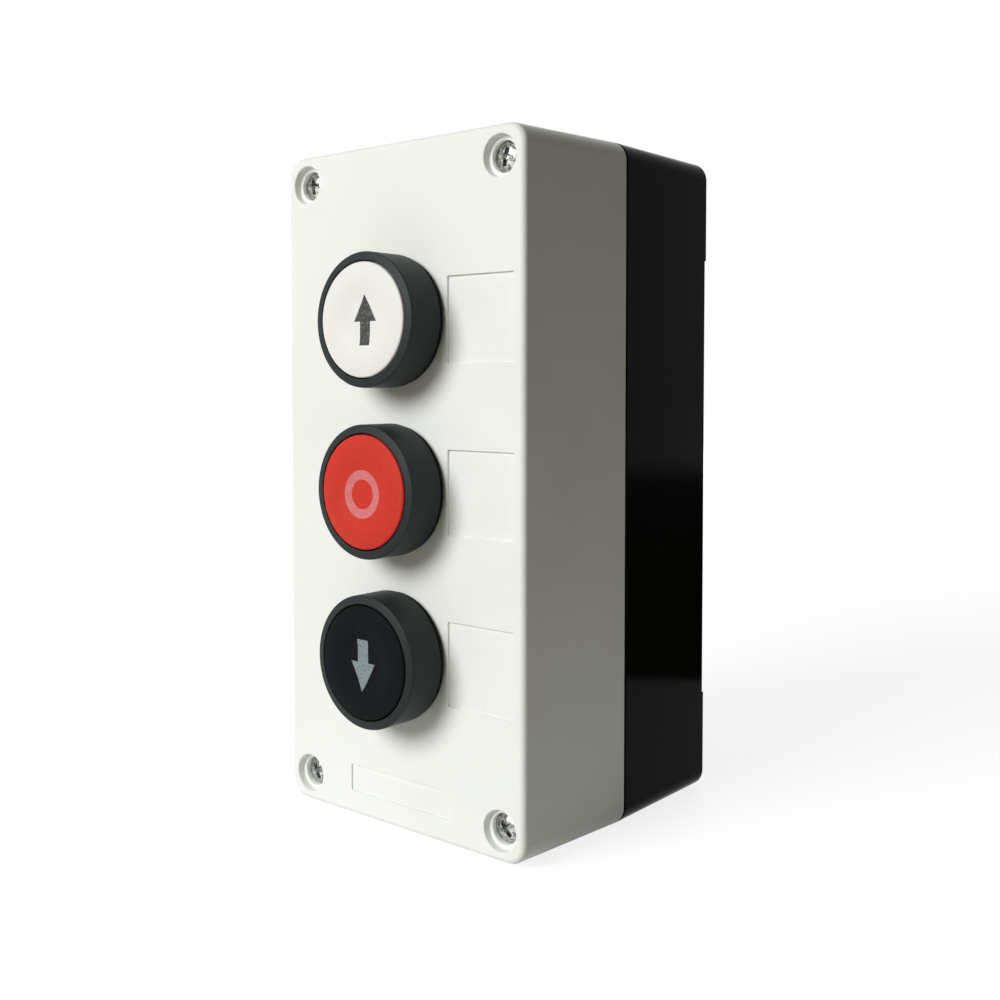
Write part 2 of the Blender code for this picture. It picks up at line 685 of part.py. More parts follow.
def panel_seal(name, axis):
    """Flat rubber ring between bezel and panel."""
    outer_r = BEZEL_R - SEAL_SET_IN
    inner_r = BARREL_R + SEAL_CLEARANCE
    top_z = SEAT_GAP + SEAL_THICKNESS
    profile = [(inner_r, top_z), (outer_r, top_z), (outer_r, SEAT_GAP), (inner_r, SEAT_GAP)]
    shape = bmesh.new()
    add_turned(shape, profile, FACE_SIDES)
    piece(f"{name}_panel_seal", shape, "seal", axis)


def ring_nut(name, axis):
    """Notched nut that pulls the head against the panel from behind."""
    steps = 4 * NUT_NOTCHES
    bore_r = clear_of(BARREL_R + FIT_GAP, steps)
    outer = []
    inner = []
    for step in range(steps):
        turn = Vector((math.cos(math.tau * step / steps), math.sin(math.tau * step / steps)))
        notch = NUT_NOTCH_DEPTH if step % 4 < 2 else 0.0
        outer.append(turn * (BARREL_R + NUT_WALL - notch))
        inner.append(turn * bore_r)
    top_z = -WALL - SEAT_GAP
    low = top_z - NUT_THICKNESS
    shape = bmesh.new()
    add_loft(shape, [(outer, low), (outer, top_z), (inner, top_z), (inner, low)], ring=True)
    piece(f"{name}_ring_nut", shape, "inner_plastic", axis)


def block_holder(name, axis):
    """Sleeve on the end of the barrel, with a plate and two arms that hook behind the housing's ribs."""
    sleeve_r = clear_of(BARREL_R + FIT_GAP, INNER_SIDES)
    outer_r = sleeve_r + HOLDER_WALL
    hole_r = clear_of(max(STEM_R, NOSE_R) + SLIDE_GAP, INNER_SIDES)
    mouth_z = HOLDER_Z + HOLDER_SLEEVE
    profile = [
        (sleeve_r, mouth_z),
        (outer_r, mouth_z),
        (outer_r, HOLDER_BACK_Z),
        (hole_r, HOLDER_BACK_Z),
        (hole_r, HOLDER_Z),
        (sleeve_r, HOLDER_Z),
    ]
    shape = bmesh.new()
    add_turned(shape, profile, INNER_SIDES)
    holder = piece(f"{name}_block_holder", shape, "inner_plastic", axis)

    hook_y = BLOCK_Y + FIT_GAP
    arm_y = hook_y + RIB_RISE
    reach = arm_y + ARM_THICKNESS
    hook_z = BLOCK_Z - RIB_DROP - RIB_HEIGHT - SEAT_GAP
    foot_y = (hole_r + arm_y) / 2
    arm = [
        (foot_y, HOLDER_Z),
        (reach, HOLDER_Z),
        (reach, hook_z - RIB_HEIGHT),
        (hook_y, hook_z - RIB_HEIGHT),
        (hook_y, hook_z),
        (arm_y, hook_z),
        (arm_y, HOLDER_BACK_Z),
        (foot_y, HOLDER_BACK_Z),
    ]
    shape = bmesh.new()
    add_prism(shape, arm, -ARM_WIDTH / 2, ARM_WIDTH / 2)
    upright = Matrix(((0, 0, 1, 0), (1, 0, 0, 0), (0, 1, 0, 0), (0, 0, 0, 1)))
    bmesh.ops.transform(shape, verts=shape.verts[:], matrix=upright)
    near = shape.verts[:] + shape.edges[:] + shape.faces[:]
    twin = bmesh.ops.duplicate(shape, geom=near)["geom"]
    far = [item for item in twin if isinstance(item, bmesh.types.BMVert)]
    bmesh.ops.rotate(shape, verts=far, cent=(0, 0, 0), matrix=Matrix.Rotation(math.pi, 3, "Z"))
    combine(holder, "arms", shape, "UNION")


def contact_block(name, axis, opens):
    """One contact element: pressing the button opens it, or else closes it."""
    if opens:
        terminal_z = STRIP_Z
        bridge_z = STRIP_Z - CONTACT_STACK
    else:
        terminal_z = STRIP_Z - CONTACT_STACK - BUTTON_TRAVEL
        bridge_z = STRIP_Z
    facing = -1 if opens else 1
    contact_housing(name, axis, terminal_z, "block_break" if opens else "block_make")
    contact_cover(name, axis)
    contact_plunger(name, axis, bridge_z)
    contact_bridge(name, axis, bridge_z, -facing)
    for label, side in (("left", -1), ("right", 1)):
        terminal(name, axis, label, side, terminal_z, facing)
        terminal_screw(name, axis, label, side, terminal_z)


def contact_housing(name, axis, terminal_z, finish):
    """Box open at the back, with a central chamber, ledges for the terminals and a rib on each side."""
    shape = bmesh.new()
    add_box(shape, (-BLOCK_X, -BLOCK_Y, BLOCK_BACK_Z), (BLOCK_X, BLOCK_Y, BLOCK_Z))
    housing = piece(f"{name}_contact_housing", shape, finish, axis)

    shape = bmesh.new()
    rib_z = BLOCK_Z - RIB_DROP
    rib_y = BLOCK_Y + RIB_RISE
    add_box(shape, (-ARM_WIDTH / 2, -rib_y, rib_z - RIB_HEIGHT), (ARM_WIDTH / 2, rib_y, rib_z))
    combine(housing, "ribs", shape, "UNION")

    below = BLOCK_BACK_Z - OVERCUT
    shape = bmesh.new()
    add_box(shape, (-CHAMBER_X, -CHAMBER_Y, below), (CHAMBER_X, CHAMBER_Y, CHAMBER_Z))
    combine(housing, "chamber", shape, "DIFFERENCE")

    shape = bmesh.new()
    add_box(shape, (-BAY_X, -BAY_Y, below), (BAY_X, BAY_Y, terminal_z + SEAT_GAP))
    combine(housing, "terminal_bays", shape, "DIFFERENCE")

    entry_z = terminal_z - STRIP_THICKNESS
    reach = BLOCK_X + OVERCUT
    shape = bmesh.new()
    low = (-reach, -TERMINAL_HEAD_R, entry_z - WIRE_ENTRY_DEPTH)
    add_box(shape, low, (reach, TERMINAL_HEAD_R, entry_z))
    combine(housing, "wire_entries", shape, "DIFFERENCE")

    shape = bmesh.new()
    bore = cylinder(TERMINAL_SCREW_R + FIT_GAP, below, screw_end(terminal_z) + SEAT_GAP)
    for side in (1, -1):
        add_turned(shape, bore, SCREW_SIDES, (side * TERMINAL_SCREW_X, 0.0))
    add_turned(shape, cylinder(NOSE_R + SLIDE_GAP, CHAMBER_Z - OVERCUT, BLOCK_Z + OVERCUT), INNER_SIDES)
    combine(housing, "bores", shape, "DIFFERENCE")


def screw_end(terminal_z):
    """Height of a clamp screw's point, which stands into the housing in front of its strip."""
    return terminal_z - STRIP_THICKNESS - SEAT_GAP + TERMINAL_SCREW_LENGTH


def contact_cover(name, axis):
    """Back of the housing, with lips in the chamber, a peg for the spring and holes over the screws."""
    back = LID_Z - LID_THICKNESS
    shape = bmesh.new()
    add_box(shape, (-BLOCK_X, -BLOCK_Y, back), (BLOCK_X, BLOCK_Y, LID_Z))
    lid = piece(f"{name}_contact_cover", shape, "inner_plastic", axis)

    middle = LID_Z - LID_THICKNESS / 2
    peg_r = CONTACT_SPRING_DIAMETER / 2 - CONTACT_SPRING_WIRE - FIT_GAP
    outer = CHAMBER_Y - FIT_GAP
    inner = outer - BLOCK_WALL
    shape = bmesh.new()
    add_turned(shape, cylinder(peg_r, middle, LID_Z + PEG_LENGTH), SCREW_SIDES)
    for low, high in ((inner, outer), (-outer, -inner)):
        add_box(shape, (-LIP_LENGTH / 2, low, middle), (LIP_LENGTH / 2, high, LID_Z + BLOCK_WALL))
    combine(lid, "peg_and_lips", shape, "UNION")

    hole = cylinder(TERMINAL_HEAD_R + FIT_GAP, back - OVERCUT, LID_Z + OVERCUT)
    shape = bmesh.new()
    for side in (1, -1):
        add_turned(shape, hole, SCREW_SIDES, (side * TERMINAL_SCREW_X, 0.0))
    combine(lid, "driver_holes", shape, "DIFFERENCE")


def contact_plunger(name, axis, bridge_z):
    """Plunger with a nose for the stem and a window for the bridge, on the spring in front of the lid."""
    shape = bmesh.new()
    add_box(shape, (-PLUNGER_X, -PLUNGER_X, PLUNGER_END_Z), (PLUNGER_X, PLUNGER_X, PLUNGER_Z))
    plunger = piece(f"{name}_contact_plunger", shape, "plunger", axis)

    shape = bmesh.new()
    add_turned(shape, cylinder(NOSE_R, PLUNGER_Z - NOSE_ROOT, STEM_END_Z - SEAT_GAP), INNER_SIDES)
    combine(plunger, "nose", shape, "UNION")

    slot_y = BRIDGE_WIDTH / 2 + FIT_GAP
    reach = PLUNGER_X + OVERCUT
    shape = bmesh.new()
    low = (-reach, -slot_y, bridge_z - STRIP_THICKNESS - SEAT_GAP)
    add_box(shape, low, (reach, slot_y, bridge_z + SEAT_GAP))
    combine(plunger, "window", shape, "DIFFERENCE")

    coil(
        f"{name}_contact_spring",
        axis,
        PLUNGER_END_Z - SEAT_GAP,
        PLUNGER_END_Z - LID_Z - 2 * SEAT_GAP,
        CONTACT_SPRING_DIAMETER,
        CONTACT_SPRING_WIRE,
        CONTACT_SPRING_TURNS,
    )


def add_contact(shape, side, strip_z, facing):
    """A contact button on the front or the back of a strip."""
    root_z = strip_z - STRIP_THICKNESS / 2
    face_z = root_z + facing * (STRIP_THICKNESS / 2 + CONTACT_HEIGHT)
    button = cylinder(CONTACT_R, root_z, face_z)
    add_turned(shape, button, SCREW_SIDES, (side * CONTACT_OFFSET, 0.0))


def contact_bridge(name, axis, bridge_z, facing):
    """Moving strip that joins the two terminals."""
    half_y = BRIDGE_WIDTH / 2
    shape = bmesh.new()
    add_box(shape, (-BRIDGE_X, -half_y, bridge_z - STRIP_THICKNESS), (BRIDGE_X, half_y, bridge_z))
    bridge = piece(f"{name}_contact_bridge", shape, "brass", axis)
    shape = bmesh.new()
    for side in (1, -1):
        add_contact(shape, side, bridge_z, facing)
    combine(bridge, "contacts", shape, "UNION")


def terminal(name, axis, label, side, terminal_z, facing):
    """Fixed contact strip on its ledge."""
    half_y = TERMINAL_WIDTH / 2
    back_z = terminal_z - STRIP_THICKNESS
    near, far = sorted((side * TERMINAL_X, side * (BAY_X - FIT_GAP)))
    shape = bmesh.new()
    add_box(shape, (near, -half_y, back_z), (far, half_y, terminal_z))
    strip = piece(f"{name}_terminal_{label}", shape, "brass", axis)
    shape = bmesh.new()
    add_contact(shape, side, terminal_z, facing)
    combine(strip, "contact", shape, "UNION")
    shape = bmesh.new()
    hole = cylinder(TERMINAL_SCREW_R + FIT_GAP, back_z - OVERCUT, terminal_z + OVERCUT)
    add_turned(shape, hole, SCREW_SIDES, (side * TERMINAL_SCREW_X, 0.0))
    combine(strip, "screw_hole", shape, "DIFFERENCE")


def terminal_screw(name, axis, label, side, terminal_z):
    """Slotted screw that clamps a wire on its strip."""
    head_z = terminal_z - STRIP_THICKNESS - SEAT_GAP
    back_z = head_z - TERMINAL_HEAD_HEIGHT
    profile = [
        (0, screw_end(terminal_z)),
        (TERMINAL_SCREW_R, screw_end(terminal_z)),
        (TERMINAL_SCREW_R, head_z),
        (TERMINAL_HEAD_R, head_z),
        (TERMINAL_HEAD_R, back_z),
        (0, back_z),
    ]
    screw_axis = empty(f"{name}_terminal_axis_{label}", (side * TERMINAL_SCREW_X, 0.0, 0.0), axis)
    shape = bmesh.new()
    add_turned(shape, profile, SCREW_SIDES)
    screw = piece(f"{name}_terminal_screw_{label}", shape, "zinc", screw_axis)
    half = TERMINAL_SLOT_WIDTH / 2
    reach = TERMINAL_HEAD_R + OVERCUT
    shape = bmesh.new()
    add_box(shape, (-half, -reach, back_z - OVERCUT), (half, reach, back_z + TERMINAL_SLOT_DEPTH))
    combine(screw, "slot", shape, "DIFFERENCE")


def control_station():
    """The whole station, standing upright on the ground."""
    for thing in list(bpy.data.objects):
        bpy.data.objects.remove(thing)
    panel = empty("panel", (0.0, FRONT_Y, SEAM_HEIGHT / 2))
    panel.rotation_euler.x = math.radians(90)
    front_cover(panel)
    rear_base(panel)
    cover_gasket(panel)
    cover_screws(panel)
    for name, row in (("up", 1), ("stop", 0), ("down", -1)):
        axis = empty(f"{name}_axis", (0.0, row * BUTTON_PITCH, 0.0), panel)
        button_head(name, axis)
        button_cap(name, axis)
        button_pusher(name, axis)
        panel_seal(name, axis)
        ring_nut(name, axis)
        block_holder(name, axis)
        contact_block(name, axis, opens=name == "stop")


control_station()
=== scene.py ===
import json
import math

import bmesh
import bpy
from mathutils import Matrix, Vector


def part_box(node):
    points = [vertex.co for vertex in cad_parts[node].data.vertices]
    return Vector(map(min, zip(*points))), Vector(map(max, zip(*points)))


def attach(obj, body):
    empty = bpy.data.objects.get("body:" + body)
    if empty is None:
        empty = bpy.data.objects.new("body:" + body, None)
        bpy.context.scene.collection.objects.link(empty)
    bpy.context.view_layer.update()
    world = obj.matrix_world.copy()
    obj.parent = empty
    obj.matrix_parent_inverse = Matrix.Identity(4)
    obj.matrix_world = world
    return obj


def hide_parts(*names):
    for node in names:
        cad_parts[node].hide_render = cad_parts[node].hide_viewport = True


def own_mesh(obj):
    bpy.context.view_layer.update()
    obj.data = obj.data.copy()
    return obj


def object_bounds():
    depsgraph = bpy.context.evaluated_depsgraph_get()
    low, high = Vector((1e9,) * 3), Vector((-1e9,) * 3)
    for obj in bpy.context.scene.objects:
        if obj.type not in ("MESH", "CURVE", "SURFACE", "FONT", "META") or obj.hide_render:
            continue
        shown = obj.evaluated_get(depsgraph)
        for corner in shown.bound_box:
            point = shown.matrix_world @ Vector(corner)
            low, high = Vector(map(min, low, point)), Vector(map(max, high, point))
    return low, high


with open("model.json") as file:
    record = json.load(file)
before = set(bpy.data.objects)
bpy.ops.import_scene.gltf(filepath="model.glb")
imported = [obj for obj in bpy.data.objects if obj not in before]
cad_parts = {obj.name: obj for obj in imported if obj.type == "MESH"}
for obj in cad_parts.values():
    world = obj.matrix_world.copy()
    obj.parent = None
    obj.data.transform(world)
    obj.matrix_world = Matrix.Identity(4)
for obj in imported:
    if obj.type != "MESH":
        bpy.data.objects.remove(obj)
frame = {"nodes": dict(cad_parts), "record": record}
cadLow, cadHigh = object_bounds()
print("frame loaded:", len(frame["nodes"]), "nodes")

mm = 0.001
buttons = ("up", "stop", "down")
scene = bpy.context.scene
scene.view_settings.view_transform = "Standard"

# the front panel's own frame: x to the right, y up, z out of the face, face at z = 0
coverLow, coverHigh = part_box("front_cover")
midHeight = (coverLow.z + coverHigh.z) / 2
panel = Matrix.Translation((0, coverLow.y, midHeight)) @ Matrix.Rotation(math.pi / 2, 4, "X")


def panelBox(node):
    # a node's box in the panel's frame, in millimetres
    low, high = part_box(node)
    return (
        Vector((low.x, low.z - midHeight, coverLow.y - high.y)) / mm,
        Vector((high.x, high.z - midHeight, coverLow.y - low.y)) / mm,
    )


def panelCentre(node):
    low, high = panelBox(node)
    return (low.x + high.x) / 2, (low.y + high.y) / 2


# camera, solved from the box's edges in the photo
cameraView = {
    "place": (0.17755, -0.20723, 0.0956),
    "lens": 43.245,
    "sensor": 36.0,
    "shiftUp": -0.07,
    "yaw": 0.6957,
    "pitch": 0.0399,
}
cameraData = bpy.data.cameras.new("camera")
cameraData.lens = cameraView["lens"]
cameraData.sensor_width = cameraView["sensor"]
cameraData.shift_y = cameraView["shiftUp"]
cameraData.clip_start = 0.01
camera = bpy.data.objects.new("camera", cameraData)
camera.location = cameraView["place"]
camera.rotation_euler = (math.pi / 2 - cameraView["pitch"], 0, cameraView["yaw"])
scene.collection.objects.link(camera)
scene.camera = camera
print("camera placed")


def tint(red, green, blue):
    # display colour to linear light
    shares = [channel / 255 for channel in (red, green, blue)]
    return (*[s / 12.92 if s <= 0.04045 else ((s + 0.055) / 1.055) ** 2.4 for s in shares], 1)


class Sock:  # one socket of a node tree, so that shader maths reads as maths
    def __init__(self, tree, output=None):
        self.tree = tree
        self.output = output

    def add(self, kind, settings=None, inputs=None, out=0):
        node = self.tree.nodes.new(kind)
        for name, value in (settings or {}).items():
            if name == "stops":
                for stop, (place, colour) in zip(node.color_ramp.elements, value):
                    stop.position = place
                    stop.color = colour
            else:
                setattr(node, name, value)
        for name, value in (inputs or {}).items():
            if isinstance(value, Sock):
                self.tree.links.new(value.output, node.inputs[name])
            else:
                node.inputs[name].default_value = value
        return Sock(self.tree, node.outputs[out] if node.outputs else None)

    def pick(self, name):
        return Sock(self.tree, self.output.node.outputs[name])

    def math(self, operation, *values):
        return self.add("ShaderNodeMath", {"operation": operation}, dict(enumerate(values)))

    def __add__(self, other):
        return self.math("ADD", self, other)

    def __radd__(self, other):
        return self.math("ADD", other, self)

    def __sub__(self, other):
        return self.math("SUBTRACT", self, other)

    def __rsub__(self, other):
        return self.math("SUBTRACT", other, self)

    def __mul__(self, other):
        return self.math("MULTIPLY", self, other)

    def __rmul__(self, other):
        return self.math("MULTIPLY", other, self)

    def __gt__(self, other):
        return self.math("GREATER_THAN", self, other)

    def __lt__(self, other):
        return self.math("LESS_THAN", self, other)

    def ramp(self, low, high):
        # 0 below low, 1 above high, smooth between
        settings = {"interpolation_type": "SMOOTHSTEP"}
        return self.add("ShaderNodeMapRange", settings, {"Value": self, "From Min": low, "From Max": high})


def noise(where, scale, detail=2.0, roughness=0.5):
    inputs = {"Vector": where, "Scale": scale, "Detail": detail, "Roughness": roughness}
    return where.add("ShaderNodeTexNoise", {}, inputs, "Fac")


def stretch(where, factors):
    return where.add("ShaderNodeVectorMath", {"operation": "MULTIPLY"}, {0: where, 1: factors})


def dot(where, way):
    return where.add("ShaderNodeVectorMath", {"operation": "DOT_PRODUCT"}, {0: where, 1: way}, "Value")


def blendColour(mask, plain, other):
    settings = {"data_type": "RGBA", "clamp_factor": True}
    return mask.add("ShaderNodeMix", settings, {0: mask, 6: plain, 7: other}, 2)


def startMaterial(name):
    material = bpy.data.materials.new(name)
    material.use_nodes = True
    material.node_tree.nodes.clear()
    paint = Sock(material.node_tree)
    return material, paint, paint.add("ShaderNodeTexCoord", {}, {}, "Object")


def endMaterial(paint, inputs, height=None, depth=0.0):
    # height is a value from 0 to 1 and depth what 1 stands for, in millimetres
    if height is not None:
        relief = {"Strength": 1.0, "Distance": depth * mm, "Height": height}
        inputs["Normal"] = paint.add("ShaderNodeBump", {}, relief)
    shader = paint.add("ShaderNodeBsdfPrincipled", {}, inputs)
    paint.add("ShaderNodeOutputMaterial", {}, {"Surface": shader})


def mouldedPlastic(name, look):
    # cloudy colour, fine tool texture, patches of different gloss and a few pale specks
    material, paint, where = startMaterial(name)
    cloud = noise(where, look["cloudScale"], 3.0)
    grain = noise(where, look["grainScale"], 2.0, 0.6)
    patch = noise(where, look["cloudScale"] * 3.1, 4.0, 0.6)
    colour = blendColour(cloud.ramp(0.35, 0.7), look["colour"], look["drift"])
    specks = noise(where, look["speckScale"], 0.0).ramp(look["speckFrom"], look["speckFrom"] + 0.06)
    colour = blendColour(specks * look["speckShare"], colour, look["speck"])
    rub = noise(stretch(where, look["rubAlong"]), look["rubScale"], 3.0, 0.7).ramp(0.6, 0.75)
    low, high = look["gloss"]
    rough = low + (high - low) * patch + rub * look["rubGloss"]
    inputs = {
        "Base Color": colour,
        "Roughness": rough,
        "Specular IOR Level": look["specular"],
    }
    endMaterial(paint, inputs, grain + specks * 0.5, look["grainDepth"])
    return material


def printedInk(name, look):
    # thin print on a matt cap: worn through in pin holes where the cap shows
    material, paint, where = startMaterial(name)
    pin = noise(where, look["pinScale"], 2.0, 0.7)
    thin = noise(where, look["thinScale"], 3.0)
    holes = (pin + thin * 0.25).ramp(look["holeFrom"], look["holeFrom"] + 0.16)
    colour = blendColour(holes * look["holeShare"], look["colour"], look["under"])
    inputs = {
        "Base Color": colour,
        "Roughness": 0.5 + 0.25 * pin,
        "Specular IOR Level": look["specular"],
    }
    endMaterial(paint, inputs, pin, look["grainDepth"])
    return material


def platedMetal(name, look):
    # bright metal with turning rings round the piece's own axis, a cloudy film and dark patches, which are
    # stains and, where strong as on the zinc, painted dark reflection
    material, paint, where = startMaterial(name)
    cloud = noise(where, look["cloudScale"], 4.0, 0.6)
    radial = where.add("ShaderNodeVectorMath", {"operation": "LENGTH"}, {0: stretch(where, (1, 1, 0))}, "Value")
    rings = radial.math("SINE", radial * look["ringScale"]) * 0.5 + 0.5
    pits = noise(where, look["pitScale"], 2.0, 0.7)
    colour = blendColour(cloud.ramp(0.4, 0.7), look["colour"], look["film"])
    # dark patches in the colour: stains, and where strong (zinc) painted dark reflection
    stainAndReflectionPatches = noise(where, look["stainAndReflectionScale"], 2.0, 0.6).ramp(0.48, 0.58)
    colour = blendColour(stainAndReflectionPatches * look["stainAndReflectionShare"], colour, look["stainAndDarkReflection"])
    low, high = look["gloss"]
    inputs = {
        "Base Color": colour,
        "Metallic": 1.0,
        "Roughness": low + (high - low) * cloud + pits.ramp(0.6, 0.75) * 0.15,
    }
    endMaterial(paint, inputs, rings * look["ringShare"] + pits, look["grainDepth"])
    return material


def mattRubber(name, look):
    material, paint, where = startMaterial(name)
    bloom = noise(where, look["bloomScale"], 4.0, 0.6)
    grain = noise(where, look["grainScale"], 2.0, 0.6)
    inputs = {
        "Base Color": blendColour(bloom.ramp(0.45, 0.8), look["colour"], look["bloom"]),
        "Roughness": 0.7 + 0.2 * bloom,
        "Specular IOR Level": look["specular"],
    }
    endMaterial(paint, inputs, grain, look["grainDepth"])
    return material


# finishes of the record's slots
plainPlastic = {
    "cloudScale": 30,
    "grainScale": 2600,
    "grainDepth": 0.012,
    "speckScale": 900,
    "speckFrom": 0.78,
    "speckShare": 0.15,
    "speck": tint(200, 200, 196),
    "rubAlong": (1, 1, 0.06),
    "rubScale": 900,
    "rubGloss": 0.06,
    "gloss": (0.36, 0.5),
    "specular": 0.4,
}
finishes = {
    "cover": mouldedPlastic("pale cover", {
        **plainPlastic,
        "colour": tint(240, 243, 239),
        "drift": tint(237, 240, 234),
        "speck": tint(214, 212, 203),
        "gloss": (0.38, 0.5),
        "specular": 0.12,
    }),
    "base": mouldedPlastic("gloss black base", {
        **plainPlastic,
        "colour": tint(17, 18, 15),
        "drift": tint(21, 21, 18),
        "speck": tint(70, 70, 66),
        "grainDepth": 0.001,
        "gloss": (0.05, 0.09),
        "rubGloss": 0.03,
        "specular": 0.02,
    }),
    "bezel": mouldedPlastic("satin black bezel", {
        **plainPlastic,
        "colour": tint(25, 33, 32),
        "drift": tint(29, 37, 36),
        "speck": tint(86, 90, 90),
        "gloss": (0.42, 0.54),
        "specular": 0.2,
    }),
    "cap_up": mouldedPlastic("white cap", {
        **plainPlastic,
        "colour": tint(234, 234, 231),
        "drift": tint(231, 231, 225),
        "gloss": (0.38, 0.5),
        "specular": 0.3,
    }),
    "cap_stop": mouldedPlastic("red cap", {
        **plainPlastic,
        "colour": tint(203, 47, 31),
        "drift": tint(196, 42, 29),
        "speck": tint(228, 101, 84),
        "speckScale": 4600,
        "speckFrom": 0.5,
        "speckShare": 0.14,
        "grainScale": 3600,
        "grainDepth": 0.03,
        "gloss": (0.42, 0.55),
        "specular": 0.2,
    }),
    "cap_down": mouldedPlastic("black cap", {
        **plainPlastic,
        "colour": tint(13, 16, 18),
        "drift": tint(16, 19, 21),
        "speck": tint(50, 54, 57),
        "speckScale": 4600,
        "speckFrom": 0.5,
        "speckShare": 0.2,
        "grainScale": 3600,
        "grainDepth": 0.05,
        "gloss": (0.44, 0.56),
        "specular": 0.035,
    }),
    "inner_plastic": mouldedPlastic("dark inner plastic", {
        **plainPlastic,
        "colour": tint(52, 54, 56),
        "drift": tint(58, 59, 60),
    }),
    "block_make": mouldedPlastic("green block plastic", {
        **plainPlastic,
        "colour": tint(52, 118, 80),
        "drift": tint(60, 124, 88),
    }),
    "block_break": mouldedPlastic("red block plastic", {
        **plainPlastic,
        "colour": tint(176, 46, 40),
        "drift": tint(182, 56, 46),
    }),
    "plunger": mouldedPlastic("pale plunger plastic", {
        **plainPlastic,
        "colour": tint(226, 224, 216),
        "drift": tint(220, 217, 206),
    }),
    "seal": mattRubber("black rubber", {
        "colour": tint(14, 14, 14),
        "bloom": tint(24, 24, 23),
        "bloomScale": 240,
        "grainScale": 2400,
        "grainDepth": 0.02,
        "specular": 0.1,
    }),
    "zinc": platedMetal("bright zinc", {
        "colour": tint(206, 207, 203),
        "film": tint(188, 190, 184),
        # dark patches on the zinc: partly stains, partly painted dark reflection
        "stainAndDarkReflection": tint(78, 84, 80),
        "stainAndReflectionScale": 1300,
        "stainAndReflectionShare": 0.8,
        "cloudScale": 420,
        "ringScale": 26000,
        "ringShare": 0.35,
        "pitScale": 2200,
        "grainDepth": 0.012,
        "gloss": (0.14, 0.3),
    }),
    "brass": platedMetal("rolled brass", {
        "colour": tint(203, 166, 96),
        "film": tint(176, 132, 70),
        "stainAndDarkReflection": tint(120, 84, 40),
        "stainAndReflectionScale": 700,
        "stainAndReflectionShare": 0.25,
        "cloudScale": 300,
        "ringScale": 9000,
        "ringShare": 0.1,
        "pitScale": 1800,
        "grainDepth": 0.01,
        "gloss": (0.22, 0.42),
    }),
    "spring_steel": platedMetal("drawn spring steel", {
        "colour": tint(170, 172, 174),
        "film": tint(138, 138, 138),
        "stainAndDarkReflection": tint(84, 84, 84),
        "stainAndReflectionScale": 900,
        "stainAndReflectionShare": 0.3,
        "cloudScale": 380,
        "ringScale": 12000,
        "ringShare": 0.1,
        "pitScale": 2400,
        "grainDepth": 0.008,
        "gloss": (0.22, 0.4),
    }),
}
print("finishes made:", len(finishes))

# every node of the frame gets the finish of its slot
for part in frame["record"]["subparts"]:
    node = frame["nodes"][part["node"]]
    node.data.materials.clear()
    node.data.materials.append(finishes[part["material_slot"]])


def arc(radius, height, size, start, end, steps):
    # points of a rounded edge with its centre at (radius, height), angles in degrees
    angles = [math.radians(start + (end - start) * k / steps) for k in range(steps + 1)]
    return [(radius + size * math.cos(a), height + size * math.sin(a)) for a in angles]


def lathe(shape, profile, sides, at=(0.0, 0.0)):
    # turns (radius, height) points round the z axis; a profile that starts off the axis closes on itself
    turns = [math.tau * k / sides for k in range(sides)]
    rings = []
    for radius, height in profile:
        if radius == 0:
            rings.append([shape.verts.new((*at, height))])
        else:
            spots = [(at[0] + radius * math.cos(t), at[1] + radius * math.sin(t)) for t in turns]
            rings.append([shape.verts.new((*spot, height)) for spot in spots])
    following = rings[1:] if len(rings[0]) == 1 else rings[1:] + rings[:1]
    for near, far in zip(rings, following):
        for k in range(sides):
            n = (k + 1) % sides
            loop = (near[k % len(near)], near[n % len(near)], far[n % len(far)], far[k % len(far)])
            shape.faces.new(dict.fromkeys(loop))


def outline(width, height, radius, steps, at=(0.0, 0.0)):
    # rectangle with round corners
    radius = min(radius, width / 2, height / 2)
    points = []
    for quarter, (side, rise) in enumerate(((1, 1), (-1, 1), (-1, -1), (1, -1))):
        for step in range(steps + 1):
            angle = math.pi / 2 * (quarter + step / steps)
            x = side * (width / 2 - radius) + radius * math.cos(angle)
            y = rise * (height / 2 - radius) + radius * math.sin(angle)
            points.append((at[0] + x, at[1] + y))
    return points


def bridge(shape, loops, ring=False):
    # skins matching loops of points, capped unless they close into a ring
    rings = [[shape.verts.new(point) for point in loop] for loop in loops]
    for near, far in zip(rings, rings[1:] + rings[:1] if ring else rings[1:]):
        for a, b, c, d in zip(near, near[1:] + near[:1], far[1:] + far[:1], far):
            shape.faces.new((a, b, c, d))
    if not ring:
        shape.faces.new(rings[0])
        shape.faces.new(rings[-1])


def loft(shape, sections, ring=False):
    # sections are flat outlines, each with its height
    bridge(shape, [[(x, y, height) for x, y in points] for points, height in sections], ring)


def makeObject(name, shape, place=panel):
    # shapes are drawn in millimetres
    bmesh.ops.recalc_face_normals(shape, faces=shape.faces[:])
    bmesh.ops.scale(shape, vec=(mm, mm, mm), verts=shape.verts[:])
    data = bpy.data.meshes.new(name)
    shape.to_mesh(data)
    shape.free()
    made = bpy.data.objects.new(name, data)
    made.matrix_world = place
    scene.collection.objects.link(made)
    return made


weld = 0.001 * mm


def carve(piece, shape, operation="DIFFERENCE"):
    tool = makeObject("tool", shape, piece.matrix_world.copy())
    step = piece.modifiers.new("carve", "BOOLEAN")
    step.operation = operation
    step.solver = "EXACT"
    step.object = tool
    bpy.context.view_layer.update()
    graph = bpy.context.evaluated_depsgraph_get()
    result = bpy.data.meshes.new_from_object(piece.evaluated_get(graph))
    piece.modifiers.clear()
    piece.data = result
    bpy.data.objects.remove(tool)
    # points that fall together where faces meet are joined
    mend = bmesh.new()
    mend.from_mesh(result)
    bmesh.ops.remove_doubles(mend, verts=mend.verts[:], dist=weld)
    bmesh.ops.dissolve_degenerate(mend, edges=mend.edges[:], dist=weld)
    mend.to_mesh(result)
    mend.free()


